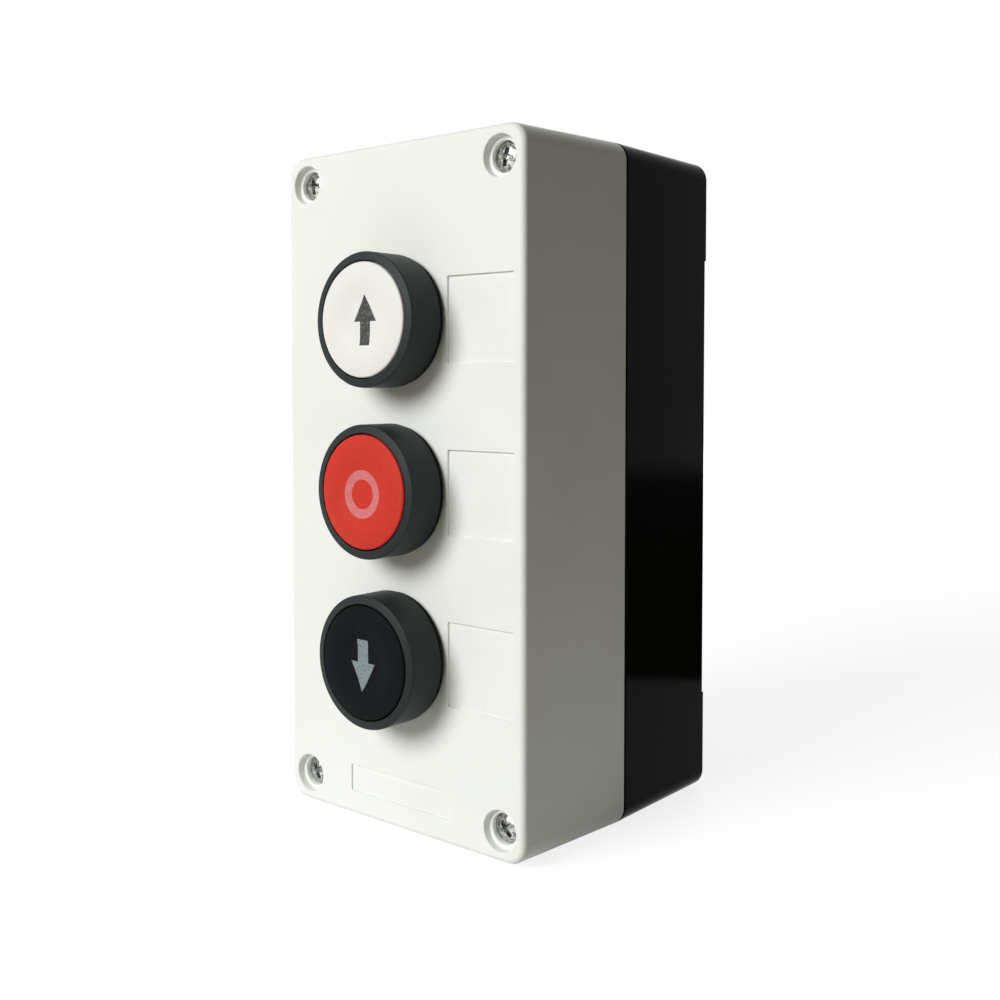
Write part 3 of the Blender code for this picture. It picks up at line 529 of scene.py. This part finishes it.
def dress(piece, finish, body, node=None, sharp=38):
    piece.data.materials.clear()
    piece.data.materials.append(finish)
    piece.data.shade_smooth()
    piece.data.set_sharp_from_angle(angle=math.radians(sharp))
    evened = piece.modifiers.new("even normals", "WEIGHTED_NORMAL")
    evened.keep_sharp = True
    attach(piece, body)
    if node:
        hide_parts(node)


screwPlaces = {
    place: panelCentre(f"cover_screw_{place}")
    for place in ("top_left", "top_right", "bottom_left", "bottom_right")
}
rows = {name: panelCentre(f"{name}_cap")[1] for name in buttons}

# front cover
cover = {
    "draft": 0.95,
    "corner": 4.3,
    "cornerSteps": 12,
    "fillet": 1.2,
    "filletSteps": 8,
    "rimRound": 0.4,
    "wall": 3.0,
    "insideCorner": 1.3,
    "columnRadius": 5.0,
    "wellRadius": 3.15,
    "ledgeRadius": 4.1,
    "ledgeDepth": 1.6,
    "ledgeTaper": 0.1,
    "wellSeat": 4.5,
    "wellLip": 0.3,
    "wellCorner": 0.15,
    "screwHole": 2.3,
    "buttonHole": 11.2,
    "legendSize": 17.4,
    "legendMargin": 3.4,
    "legendDepth": 0.5,
    "nameSize": (28.8, 5.8),
    "nameMargin": 6.1,
    "nameDepth": 0.4,
    "recessCorner": 0.35,
    "recessLip": 0.08,
    "columnShort": 0.05,
    "overcut": 1.0,
}
low, high = panelBox("front_cover")
cover["size"] = (high.x - low.x, high.y - low.y)
cover["depth"] = high.z - low.z


def shellOutline(look, inset, radius):
    width, height = look["size"]
    return outline(width - 2 * inset, height - 2 * inset, max(radius, 0.5), look["cornerSteps"])


def coverSection(height, inset):
    lost = cover["draft"] * (height + cover["depth"]) / cover["depth"]
    return shellOutline(cover, lost + inset, cover["corner"] - inset), height


def addRecess(shape, size, at, depth):
    # cutter with a small bevel round its mouth
    lip = cover["recessLip"]
    mouth = outline(size[0] + 2 * lip, size[1] + 2 * lip, cover["recessCorner"] + lip, 4, at)
    floor = outline(size[0], size[1], cover["recessCorner"], 4, at)
    loft(shape, [(floor, -depth), (floor, -lip), (mouth, 0.0), (mouth, cover["overcut"])])


def buildCover():
    seam = -cover["depth"]
    sections = []
    for r, z in arc(0.0, 0.0, cover["rimRound"], -90, 0, 4):
        sections.append(coverSection(seam + cover["rimRound"] + z, cover["rimRound"] - r))
    for r, z in arc(0.0, 0.0, cover["fillet"], 0, 90, cover["filletSteps"]):
        sections.append(coverSection(z - cover["fillet"], cover["fillet"] - r))
    shape = bmesh.new()
    loft(shape, sections)
    piece = makeObject("coverShell", shape)

    mouth = shellOutline(cover, cover["wall"], cover["insideCorner"])
    inner, _ = coverSection(-cover["wall"], cover["wall"])
    shape = bmesh.new()
    loft(shape, [(mouth, seam - cover["overcut"]), (mouth, seam), (inner, -cover["wall"])])
    carve(piece, shape)

    shape = bmesh.new()
    for at in screwPlaces.values():
        column = cover["columnRadius"]
        foot = seam + cover["columnShort"]
        lathe(shape, [(0, foot), (column, foot), (column, -1.5), (0, -1.5)], 40, at)
    carve(piece, shape, "UNION")

    # stepped wells: a soft lip at the mouth, a ledge, and the narrow part that holds the head
    lip, soft, narrow = cover["wellLip"], cover["wellCorner"], cover["wellRadius"]
    ledge, foot = -cover["ledgeDepth"], cover["ledgeRadius"] - cover["ledgeTaper"]
    well = [(0, cover["overcut"]), (cover["ledgeRadius"] + lip, cover["overcut"])]
    well += arc(cover["ledgeRadius"] + lip, -lip, lip, 90, 180, 6)
    well += arc(foot - soft, ledge + soft, soft, 0, -90, 3)
    well += arc(narrow + soft, ledge - soft, soft, 90, 180, 3)
    well += arc(narrow - soft, -cover["wellSeat"] + soft, soft, 0, -90, 3)
    well += [(0, -cover["wellSeat"])]
    shape = bmesh.new()
    for at in screwPlaces.values():
        lathe(shape, well, 64, at)
    carve(piece, shape)

    shape = bmesh.new()
    for at in screwPlaces.values():
        hole = cover["screwHole"]
        lathe(shape, [(0, seam - 1), (hole, seam - 1), (hole, -2.6), (0, -2.6)], 32, at)
    for row in rows.values():
        hole = cover["buttonHole"]
        lathe(shape, [(0, -cover["wall"] - 1), (hole, -cover["wall"] - 1), (hole, 1), (0, 1)], 96, (0.0, row))
    carve(piece, shape)

    shape = bmesh.new()
    width, height = cover["size"]
    side = cover["legendSize"]
    for row in rows.values():
        addRecess(shape, (side, side), (width / 2 - cover["legendMargin"] - side / 2, row), cover["legendDepth"])
    middle = cover["nameMargin"] + cover["nameSize"][1] / 2 - height / 2
    addRecess(shape, cover["nameSize"], (0.0, middle), cover["nameDepth"])
    carve(piece, shape)
    dress(piece, finishes["cover"], "enclosure", "front_cover")


buildCover()
print("cover built")

# rear base
base = {
    "draft": 0.1,
    "corner": 4.3,
    "cornerSteps": 12,
    "fillet": 0.7,
    "filletSteps": 6,
    "rimRound": 0.2,
    "wall": 3.0,
    "insideCorner": 1.3,
    "columnRadius": 5.0,
    "pilot": 2.3,
    "pilotEnd": -47.7,
    "fixing": 2.5,
    "fixingInset": (15.0, 14.2),
    "fixingBevel": 0.4,
    "padLength": 22.8,
    "padHeight": 0.75,
    "padRound": 0.3,
    "reliefRound": 0.4,
    "knockOut": 10.25,
    "knockOutGroove": 1.0,
    "knockOutSkin": 0.9,
    "grooveWidth": 1.6,
    "grooveDepth": 1.4,
}
low, high = panelBox("rear_base")
base["size"] = (high.x - low.x, high.y - low.y)
base["rim"] = high.z
base["back"] = low.z


def baseSection(height, inset):
    lost = base["draft"] * (base["rim"] - height) / (base["rim"] - base["back"])
    return shellOutline(base, lost + inset, base["corner"] - inset), height


def buildBase():
    rim, back, wall = base["rim"], base["back"], base["wall"]
    width, height = base["size"]
    floor = back + base["padHeight"] + wall
    sections = []
    for r, z in arc(0.0, 0.0, base["rimRound"], 90, 0, 4):
        sections.append(baseSection(rim - base["rimRound"] + z, base["rimRound"] - r))
    for r, z in arc(0.0, 0.0, base["fillet"], 0, -90, base["filletSteps"]):
        sections.append(baseSection(back + base["fillet"] + z, base["fillet"] - r))
    shape = bmesh.new()
    loft(shape, sections)
    piece = makeObject("baseShell", shape)

    mouth = shellOutline(base, wall, base["insideCorner"])
    inner, _ = baseSection(floor, wall)
    shape = bmesh.new()
    loft(shape, [(mouth, rim + 1), (mouth, rim), (inner, floor)])
    carve(piece, shape)

    shape = bmesh.new()
    for at in screwPlaces.values():
        column = base["columnRadius"]
        lathe(shape, [(0, floor - 1.5), (column, floor - 1.5), (column, rim), (0, rim)], 40, at)
    carve(piece, shape, "UNION")

    # screw pilots, and fixing holes with a bevelled mouth in the back
    shape = bmesh.new()
    for at in screwPlaces.values():
        hole = base["pilot"]
        lathe(shape, [(0, base["pilotEnd"]), (hole, base["pilotEnd"]), (hole, rim + 1), (0, rim + 1)], 32, at)
    fixing, bevel = base["fixing"], base["fixingBevel"]
    hole = [(0, back - 1), (fixing + bevel, back - 1), (fixing + bevel, back), (fixing, back + bevel)]
    hole += [(fixing, floor + 1), (0, floor + 1)]
    for side in (1, -1):
        for rise in (1, -1):
            at = (side * (width / 2 - base["fixingInset"][0]), rise * (height / 2 - base["fixingInset"][1]))
            lathe(shape, hole, 48, at)
    carve(piece, shape)

    near, far = (wall - base["grooveWidth"]) / 2, (wall + base["grooveWidth"]) / 2
    outer = shellOutline(base, near, base["corner"] - near)
    inner = shellOutline(base, far, base["corner"] - far)
    bottom = rim - base["grooveDepth"]
    shape = bmesh.new()
    loft(shape, [(outer, bottom), (outer, rim + 1), (inner, rim + 1), (inner, bottom)], ring=True)
    carve(piece, shape)

    # relief between the two back pads, with a rounded step
    reach, end, step = width, height / 2 - base["padLength"], base["padHeight"]
    soft = base["padRound"]
    edge = [(-end - soft, back - 1), (-end - soft, back)]
    edge += [(-end - soft + soft * math.sin(a), back + soft - soft * math.cos(a)) for a in (0.4, 0.8, 1.2, 1.57)]
    edge += [(-end, back + step)]
    loop = edge + [(-y, z) for y, z in reversed(edge)]
    shape = bmesh.new()
    bridge(shape, [[(x, y, z) for y, z in loop] for x in (-reach, reach)])
    carve(piece, shape)

    # rounded long edges of the relief
    soft = base["reliefRound"]
    side, level = width / 2 - base["draft"], back + step
    loop = [(side + 1, level - 1), (side + 1, level + soft)]
    loop += arc(side - soft, level + soft, soft, 0, -90, 4)
    loop += [(side - soft, level - 1)]
    shape = bmesh.new()
    for turn in (1, -1):
        bridge(shape, [[(turn * x, y, z) for x, z in loop] for y in (-end, end)])
    carve(piece, shape)

    # ring grooves of the knock-outs in the top and bottom walls
    outerR = base["knockOut"]
    innerR = outerR - base["knockOutGroove"]
    deep = height / 2 - wall + base["knockOutSkin"]
    top = height / 2 + 1
    for quarter in (1, -1):
        shape = bmesh.new()
        lathe(shape, [(innerR, deep), (innerR, top), (outerR, top), (outerR, deep)], 96)
        turn = Matrix.Rotation(-quarter * math.pi / 2, 4, "X")
        middle = Matrix.Translation((0, 0, (rim + back) / 2))
        bmesh.ops.transform(shape, matrix=middle @ turn, verts=shape.verts[:])
        carve(piece, shape)
    dress(piece, finishes["base"], "enclosure", "rear_base")


buildBase()
print("base built")

# button heads
head = {
    "sides": 128,
    "pocket": 12.0,
    "pocketFloor": 3.15,
    "slope": 0.35,
    "mouthRound": 0.2,
    "outerRound": 0.35,
    "rearRound": 0.35,
    "flange": 1.4,
    "barrel": 10.9,
    "bore": 8.6,
    "web": (-11.95, -13.95),
    "webHole": 4.6,
}


def buildHead(name):
    low, high = panelBox(f"{name}_bezel")
    rim, end = high.z, low.z
    outer = (high.x - low.x) / 2
    pocket, soft, rear = head["pocket"], head["outerRound"], head["rearRound"]
    tilt = math.degrees(math.atan2(head["slope"], outer - pocket))
    lip = head["mouthRound"]
    profile = arc(pocket + lip, rim - lip, lip, 180, 90 - tilt, 4)
    fall = head["slope"] * (outer - soft - pocket) / (outer - pocket)
    profile += arc(outer - soft, rim - fall - soft, soft, 90 - tilt, 0, 8)
    profile += arc(outer - rear, head["flange"] + rear, rear, 0, -90, 5)
    profile += [(head["barrel"], head["flange"]), (head["barrel"], end), (head["bore"], end)]
    webTop, webBack = head["web"]
    profile += [(head["bore"], webBack), (head["webHole"], webBack), (head["webHole"], webTop)]
    profile += [(head["bore"], webTop), (head["bore"], head["pocketFloor"]), (pocket, head["pocketFloor"])]
    shape = bmesh.new()
    lathe(shape, profile, head["sides"])
    piece = makeObject(f"{name}Head", shape, panel @ Matrix.Translation((0, rows[name] * mm, 0)))
    dress(piece, finishes["bezel"], "enclosure", f"{name}_bezel")


# flat rubber rings at the foot of the heads
seal = {"sides": 128, "round": 0.2}


def buildSeal(name):
    low, high = panelBox(f"{name}_panel_seal")
    outer, inner = (high.x - low.x) / 2, head["barrel"] + 0.9
    soft = seal["round"]
    profile = [(inner, low.z), (inner, high.z)]
    profile += arc(outer - soft, high.z - soft, soft, 90, 0, 4)
    profile += arc(outer - soft, low.z + soft, soft, 0, -90, 4)
    shape = bmesh.new()
    lathe(shape, profile, seal["sides"])
    piece = makeObject(f"{name}Seal", shape, panel @ Matrix.Translation((0, rows[name] * mm, 0)))
    dress(piece, finishes["seal"], "enclosure", f"{name}_panel_seal")


# caps with a shallow dish
cap = {
    "sides": 128,
    "dish": 0.65,
    "floor": 0.28,
    "crest": 0.75,
    "roll": 0.22,
    "faceSteps": 36,
    "edge": 0.45,
    "back": 7.45,
    "hub": (4.3, 6.1),
    "hubEnd": 5.45,
}


def dishHeight(radius, front, flat):
    # a dish inside a rolled rim
    share = radius / flat
    rise = min(max((share - cap["floor"]) / (cap["crest"] - cap["floor"]), 0), 1)
    fall = max(share - cap["crest"], 0) / (1 - cap["crest"])
    return front - cap["dish"] * (1 - rise * rise * (3 - 2 * rise)) - cap["roll"] * fall**2


def buildCap(name):
    low, high = panelBox(f"{name}_cap")
    front, outer, edge = high.z, (high.x - low.x) / 2, cap["edge"]
    flat = outer - edge
    steps = [flat * k / cap["faceSteps"] for k in range(cap["faceSteps"])]
    profile = [(r, dishHeight(r, front, flat)) for r in steps]
    profile += arc(flat, front - cap["roll"] - edge, edge, 82, 0, 7)
    socket, hub = cap["hub"]
    profile += [(outer, cap["back"]), (hub, cap["back"]), (hub, cap["hubEnd"]), (socket, cap["hubEnd"])]
    profile += [(socket, cap["back"]), (0, cap["back"])]
    shape = bmesh.new()
    lathe(shape, profile, cap["sides"])
    piece = makeObject(f"{name}Cap", shape, panel @ Matrix.Translation((0, rows[name] * mm, 0)))
    dress(piece, finishes[f"cap_{name}"], f"{name}_button", f"{name}_cap")
    return front, flat


# printed marks: an arrow up, a ring and an arrow down
mark = {
    "rise": 0.03,
    "thickness": 0.08,
    "up": {"tip": 5.1, "base": -0.35, "head": 6.35, "shaft": 2.85, "tail": -5.2, "at": (0.7, 0.0), "turn": 0},
    "down": {"tip": 6.0, "base": 0.0, "head": 6.8, "shaft": 3.0, "tail": -4.7, "at": (-0.3, 0.0), "turn": 180},
    "stop": {"outer": 4.95, "inner": 3.05, "at": (-0.3, -0.45)},
}
inkBase = {
    "pinScale": 2800,
    "thinScale": 500,
    "holeFrom": 0.6,
    "holeShare": 0.5,
    "specular": 0.2,
    "grainDepth": 0.02,
}
inks = {
    "up": printedInk("dark ink", {**inkBase, "colour": tint(60, 60, 58), "under": tint(142, 142, 138)}),
    "stop": printedInk("pink ink", {**inkBase, "colour": tint(211, 124, 126), "under": tint(196, 72, 66)}),
    "down": printedInk("grey ink", {**inkBase, "colour": tint(134, 146, 151), "under": tint(66, 74, 78)}),
}


def arrowShape(look):
    half, stem = look["head"] / 2, look["shaft"] / 2
    points = [(0, look["tip"]), (-half, look["base"]), (-stem, look["base"]), (-stem, look["tail"])]
    points += [(stem, look["tail"]), (stem, look["base"]), (half, look["base"])]
    turn = Matrix.Rotation(math.radians(look["turn"]), 2)
    shape = bmesh.new()
    spots = [turn @ Vector(point) + Vector(look["at"]) for point in points]
    shape.faces.new([shape.verts.new((*spot, 0.0)) for spot in spots])
    bmesh.ops.triangulate(shape, faces=shape.faces[:])
    bmesh.ops.subdivide_edges(shape, edges=shape.edges[:], cuts=7, use_grid_fill=True)
    return shape


def ringShape(look):
    shape = bmesh.new()
    rings = []
    for k in range(7):
        radius = look["inner"] + (look["outer"] - look["inner"]) * k / 6
        turns = [math.tau * n / 96 for n in range(96)]
        spots = [(look["at"][0] + radius * math.cos(t), look["at"][1] + radius * math.sin(t)) for t in turns]
        rings.append([shape.verts.new((*spot, 0.0)) for spot in spots])
    for near, far in zip(rings, rings[1:]):
        for n in range(96):
            shape.faces.new((near[n], near[(n + 1) % 96], far[(n + 1) % 96], far[n]))
    return shape


def buildMark(name, front, flat):
    shape = ringShape(mark[name]) if name == "stop" else arrowShape(mark[name])
    for vert in shape.verts:
        vert.co.z = dishHeight(vert.co.xy.length, front, flat) + mark["rise"]
    grown = bmesh.ops.extrude_face_region(shape, geom=shape.faces[:])["geom"]
    lower = [item for item in grown if isinstance(item, bmesh.types.BMVert)]
    bmesh.ops.translate(shape, verts=lower, vec=(0, 0, -mark["thickness"]))
    piece = makeObject(f"{name}Mark", shape, panel @ Matrix.Translation((0, rows[name] * mm, 0)))
    dress(piece, inks[name], f"{name}_button")


for button in buttons:
    buildHead(button)
    buildSeal(button)
    dishFront, dishRadius = buildCap(button)
    buildMark(button, dishFront, dishRadius)
print("heads, seals, caps and marks built")

# cover screws
screw = {
    "sides": 64,
    "headRadius": 3.02,
    "headHeight": 2.4,
    "dome": 0.7,
    "edge": 0.3,
    "shank": 2.0,
    "point": 1.6,
    "recess": (4.0, 1.1),
    "recessFloor": (1.9, 0.75),
    "recessDepth": 1.5,
    "turns": {"top_left": 4, "top_right": -14, "bottom_left": 25, "bottom_right": 40},
}


def crossOutline(length, width):
    arm = [(length / 2, -width / 2), (length / 2, width / 2), (width / 2, width / 2)]
    points = []
    for quarter in range(4):
        turn = Matrix.Rotation(math.pi / 2 * quarter, 2)
        points += [tuple(turn @ Vector(point)) for point in arm]
    return points


def buildScrew(place):
    low, high = panelBox(f"cover_screw_{place}")
    top, tip, outer = high.z, low.z, screw["headRadius"]
    under = top - screw["headHeight"]
    edge, shank = screw["edge"], screw["shank"]
    domeR = outer - edge
    profile = [(domeR * k / 8, top - screw["dome"] * (k / 8) ** 3) for k in range(9)]
    profile += arc(domeR, top - screw["dome"] - edge, edge, 55, 0, 4)
    profile += [(outer, under + 0.15), (outer - 0.15, under), (shank, under), (shank, tip + screw["point"])]
    profile += [(shank / 2, tip), (0, tip)]
    shape = bmesh.new()
    lathe(shape, profile, screw["sides"])
    x, y = screwPlaces[place]
    spin = Matrix.Rotation(math.radians(screw["turns"][place]), 4, "Z")
    name = "coverScrew" + place.title().replace("_", "")
    piece = makeObject(name, shape, panel @ Matrix.Translation((x * mm, y * mm, 0)) @ spin)
    shape = bmesh.new()
    floor = crossOutline(*screw["recessFloor"])
    mouth = crossOutline(*screw["recess"])
    wide = crossOutline(screw["recess"][0] + 0.6, screw["recess"][1] + 0.3)
    loft(shape, [(floor, top - screw["recessDepth"]), (mouth, top), (wide, top + 0.6)])
    carve(piece, shape)
    dress(piece, finishes["zinc"], "enclosure", f"cover_screw_{place}")


for place in screwPlaces:
    buildScrew(place)
print("screws built")

# springs, coiled wire with closed end turns
coil = {"steps": 28, "wireSides": 12, "close": 1.05, "travel": 4.0}
coilKinds = {
    "return": {"wire": 1.0, "turns": 5, "joint": "press"},
    "contact": {"wire": 0.7, "turns": 4, "joint": "contact_travel"},
}


def buildCoil(name, kind):
    look = coilKinds[kind]
    node = f"{name}_{kind}_spring"
    low, high = panelBox(node)
    wire, turns = look["wire"], look["turns"]
    radius = (high.x - low.x - wire) / 2
    length = high.z - low.z
    closed = wire * coil["close"]
    opened = (length - wire - 2 * closed) / (turns - 2)
    shape = bmesh.new()
    loops = []
    for step in range(turns * coil["steps"] + 1):
        turn = step / coil["steps"]
        first, last = min(turn, 1), max(turn - (turns - 1), 0)
        drop = wire / 2 + closed * (first + last) + opened * (turn - first - last)
        angle = math.tau * turn
        out = Vector((math.cos(angle), math.sin(angle), 0))
        middle = out * radius + Vector((0, 0, high.z - drop))
        spots = []
        for k in range(coil["wireSides"]):
            around = math.tau * k / coil["wireSides"]
            spots.append(middle + wire / 2 * (out * math.cos(around) + Vector((0, 0, math.sin(around)))))
        loops.append(spots)
    bridge(shape, loops)
    piece = makeObject(f"{name}{kind.title()}Coil", shape, panel @ Matrix.Translation((0, rows[name] * mm, 0)))
    dress(piece, finishes["spring_steel"], "enclosure", node)
    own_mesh(piece)


for button in buttons:
    for kind in coilKinds:
        buildCoil(button, kind)
print("springs built")

# pale floor, white to the eye and to reflections, with a painted dark reflection band that only reflections see;
# to the light it is a painted pool of light, pale near the box and darker further out
stage = {
    "reach": 4.0,
    # painted pool of light: the floor's colour for bounce light is pale near the box and darker further out
    "bounce": tint(248, 247, 244),
    "bounceBeyondLightPool": tint(144, 132, 110),
    "paintedLightPoolFade": (0.08, 0.41),
    "driftScale": 6.0,
    "driftShare": 0.2,
    "shade": tint(150, 150, 149),
    "glowNear": (0.84, 0.84, 0.84, 1),
    "glowFar": (1.0, 1.0, 1.0, 1),
    "glowFade": (0.25, 1.3),
    "darkReflectionStart": (0.035, 0.02, 0),  # a painted dark reflection band on the right behind, seen only as a mirror image
    "darkReflectionTowards": (0.53, 0.848, 0),
    "darkReflectionSpread": (0.95, 0.99),
    "darkReflectionFrom": (0.1115, 0.1245),
    "darkReflectionTo": (0.845, 1.265),
    "darkReflectionNear": tint(6, 6, 4),
    "darkReflectionFar": tint(90, 102, 98),
    "darkReflectionFade": (0.27, 0.87),
}


def backgroundRays(paint):
    rays = paint.add("ShaderNodeLightPath", {}, {}, "Is Camera Ray")
    seen = rays + rays.pick("Is Glossy Ray") + rays.pick("Is Transmission Ray")
    return seen.math("MINIMUM", seen, 1.0)


def buildFloor():
    shape = bmesh.new()
    bmesh.ops.create_grid(shape, x_segments=8, y_segments=8, size=stage["reach"] / mm)
    floor = makeObject("floor", shape, Matrix.Translation((0, 0, cadLow.z)))
    material, paint, where = startMaterial("pale floor")
    seen = backgroundRays(paint)
    drift = noise(where, stage["driftScale"], 3.0)
    away = where.add("ShaderNodeVectorMath", {"operation": "LENGTH"}, {0: where}, "Value")
    # painted pool of light in the floor's colour for bounce light, darker further from the box, with random
    # drift towards the far colour
    paintedLightPool = blendColour(away.ramp(*stage["paintedLightPoolFade"]), stage["bounce"], stage["bounceBeyondLightPool"])
    matt = {"Roughness": 1.0, "Specular IOR Level": 0.0}
    dull = {"Base Color": blendColour(drift * stage["driftShare"], paintedLightPool, stage["bounceBeyondLightPool"]), **matt}
    bounce = paint.add("ShaderNodeBsdfPrincipled", {}, dull)
    # painted reflection: a dark band on the floor that only glossy rays see; it darkens both the glow and the
    # base colour, so the black base mirrors a dark patch
    reach = where.add("ShaderNodeVectorMath", {"operation": "SUBTRACT"}, {0: where, 1: stage["darkReflectionStart"]})
    along = dot(reach, stage["darkReflectionTowards"])
    aim = dot(reach.add("ShaderNodeVectorMath", {"operation": "NORMALIZE"}, {0: reach}), stage["darkReflectionTowards"])
    paintedReflection = (along.ramp(*stage["darkReflectionFrom"]) - along.ramp(*stage["darkReflectionTo"])) * aim.ramp(*stage["darkReflectionSpread"])
    paintedReflection = paintedReflection * paint.add("ShaderNodeLightPath", {}, {}, "Is Glossy Ray")
    paintedReflectionColour = blendColour(along.ramp(*stage["darkReflectionFade"]), stage["darkReflectionNear"], stage["darkReflectionFar"])
    glow = blendColour(away.ramp(*stage["glowFade"]), stage["glowNear"], stage["glowFar"])
    shade = blendColour(paintedReflection, stage["shade"], stage["darkReflectionNear"])
    glow = blendColour(paintedReflection, glow, paintedReflectionColour)
    bright = {"Base Color": shade, "Emission Color": glow, "Emission Strength": 1.0, **matt}
    white = paint.add("ShaderNodeBsdfPrincipled", {}, bright)
    surface = paint.add("ShaderNodeMixShader", {}, {0: seen, 1: bounce, 2: white})
    paint.add("ShaderNodeOutputMaterial", {}, {"Surface": surface})
    floor.data.materials.append(material)


buildFloor()

# soft studio light: a large key from the upper left in front, a weak fill behind on the left
lamps = {
    "key": {"towards": (-0.165, -0.85, 0.39), "distance": 1.2, "size": 0.67, "power": 13.2, "mirrored": True},
    "fill": {"towards": (-0.35, 0.9, 0.4), "distance": 1.4, "size": 1.0, "power": 8.0, "mirrored": False},
}
sky = {"colour": (1.0, 0.91, 0.7, 1), "strength": 0.04}


def buildLamp(name, look):
    lamp = bpy.data.lights.new(name, "AREA")
    lamp.shape = "DISK"
    lamp.size = look["size"]
    lamp.energy = look["power"]
    holder = bpy.data.objects.new(name, lamp)
    way = Vector(look["towards"]).normalized()
    holder.location = Vector((0, 0, midHeight)) + way * look["distance"]
    holder.rotation_euler = way.to_track_quat("Z", "Y").to_euler()
    holder.visible_camera = False
    holder.visible_glossy = look["mirrored"]
    scene.collection.objects.link(holder)


for lampName, lampLook in lamps.items():
    buildLamp(lampName, lampLook)
world = bpy.data.worlds.new("studio")
world.use_nodes = True
world.node_tree.nodes.clear()
air = Sock(world.node_tree)
dim = air.add("ShaderNodeBackground", {}, {"Color": sky["colour"], "Strength": sky["strength"]})
white = air.add("ShaderNodeBackground", {}, {"Color": (1, 1, 1, 1), "Strength": 1.0})
around = air.add("ShaderNodeMixShader", {}, {0: backgroundRays(air), 1: dim, 2: white})
air.add("ShaderNodeOutputWorld", {}, {"Surface": around})
scene.world = world
print("studio lit")
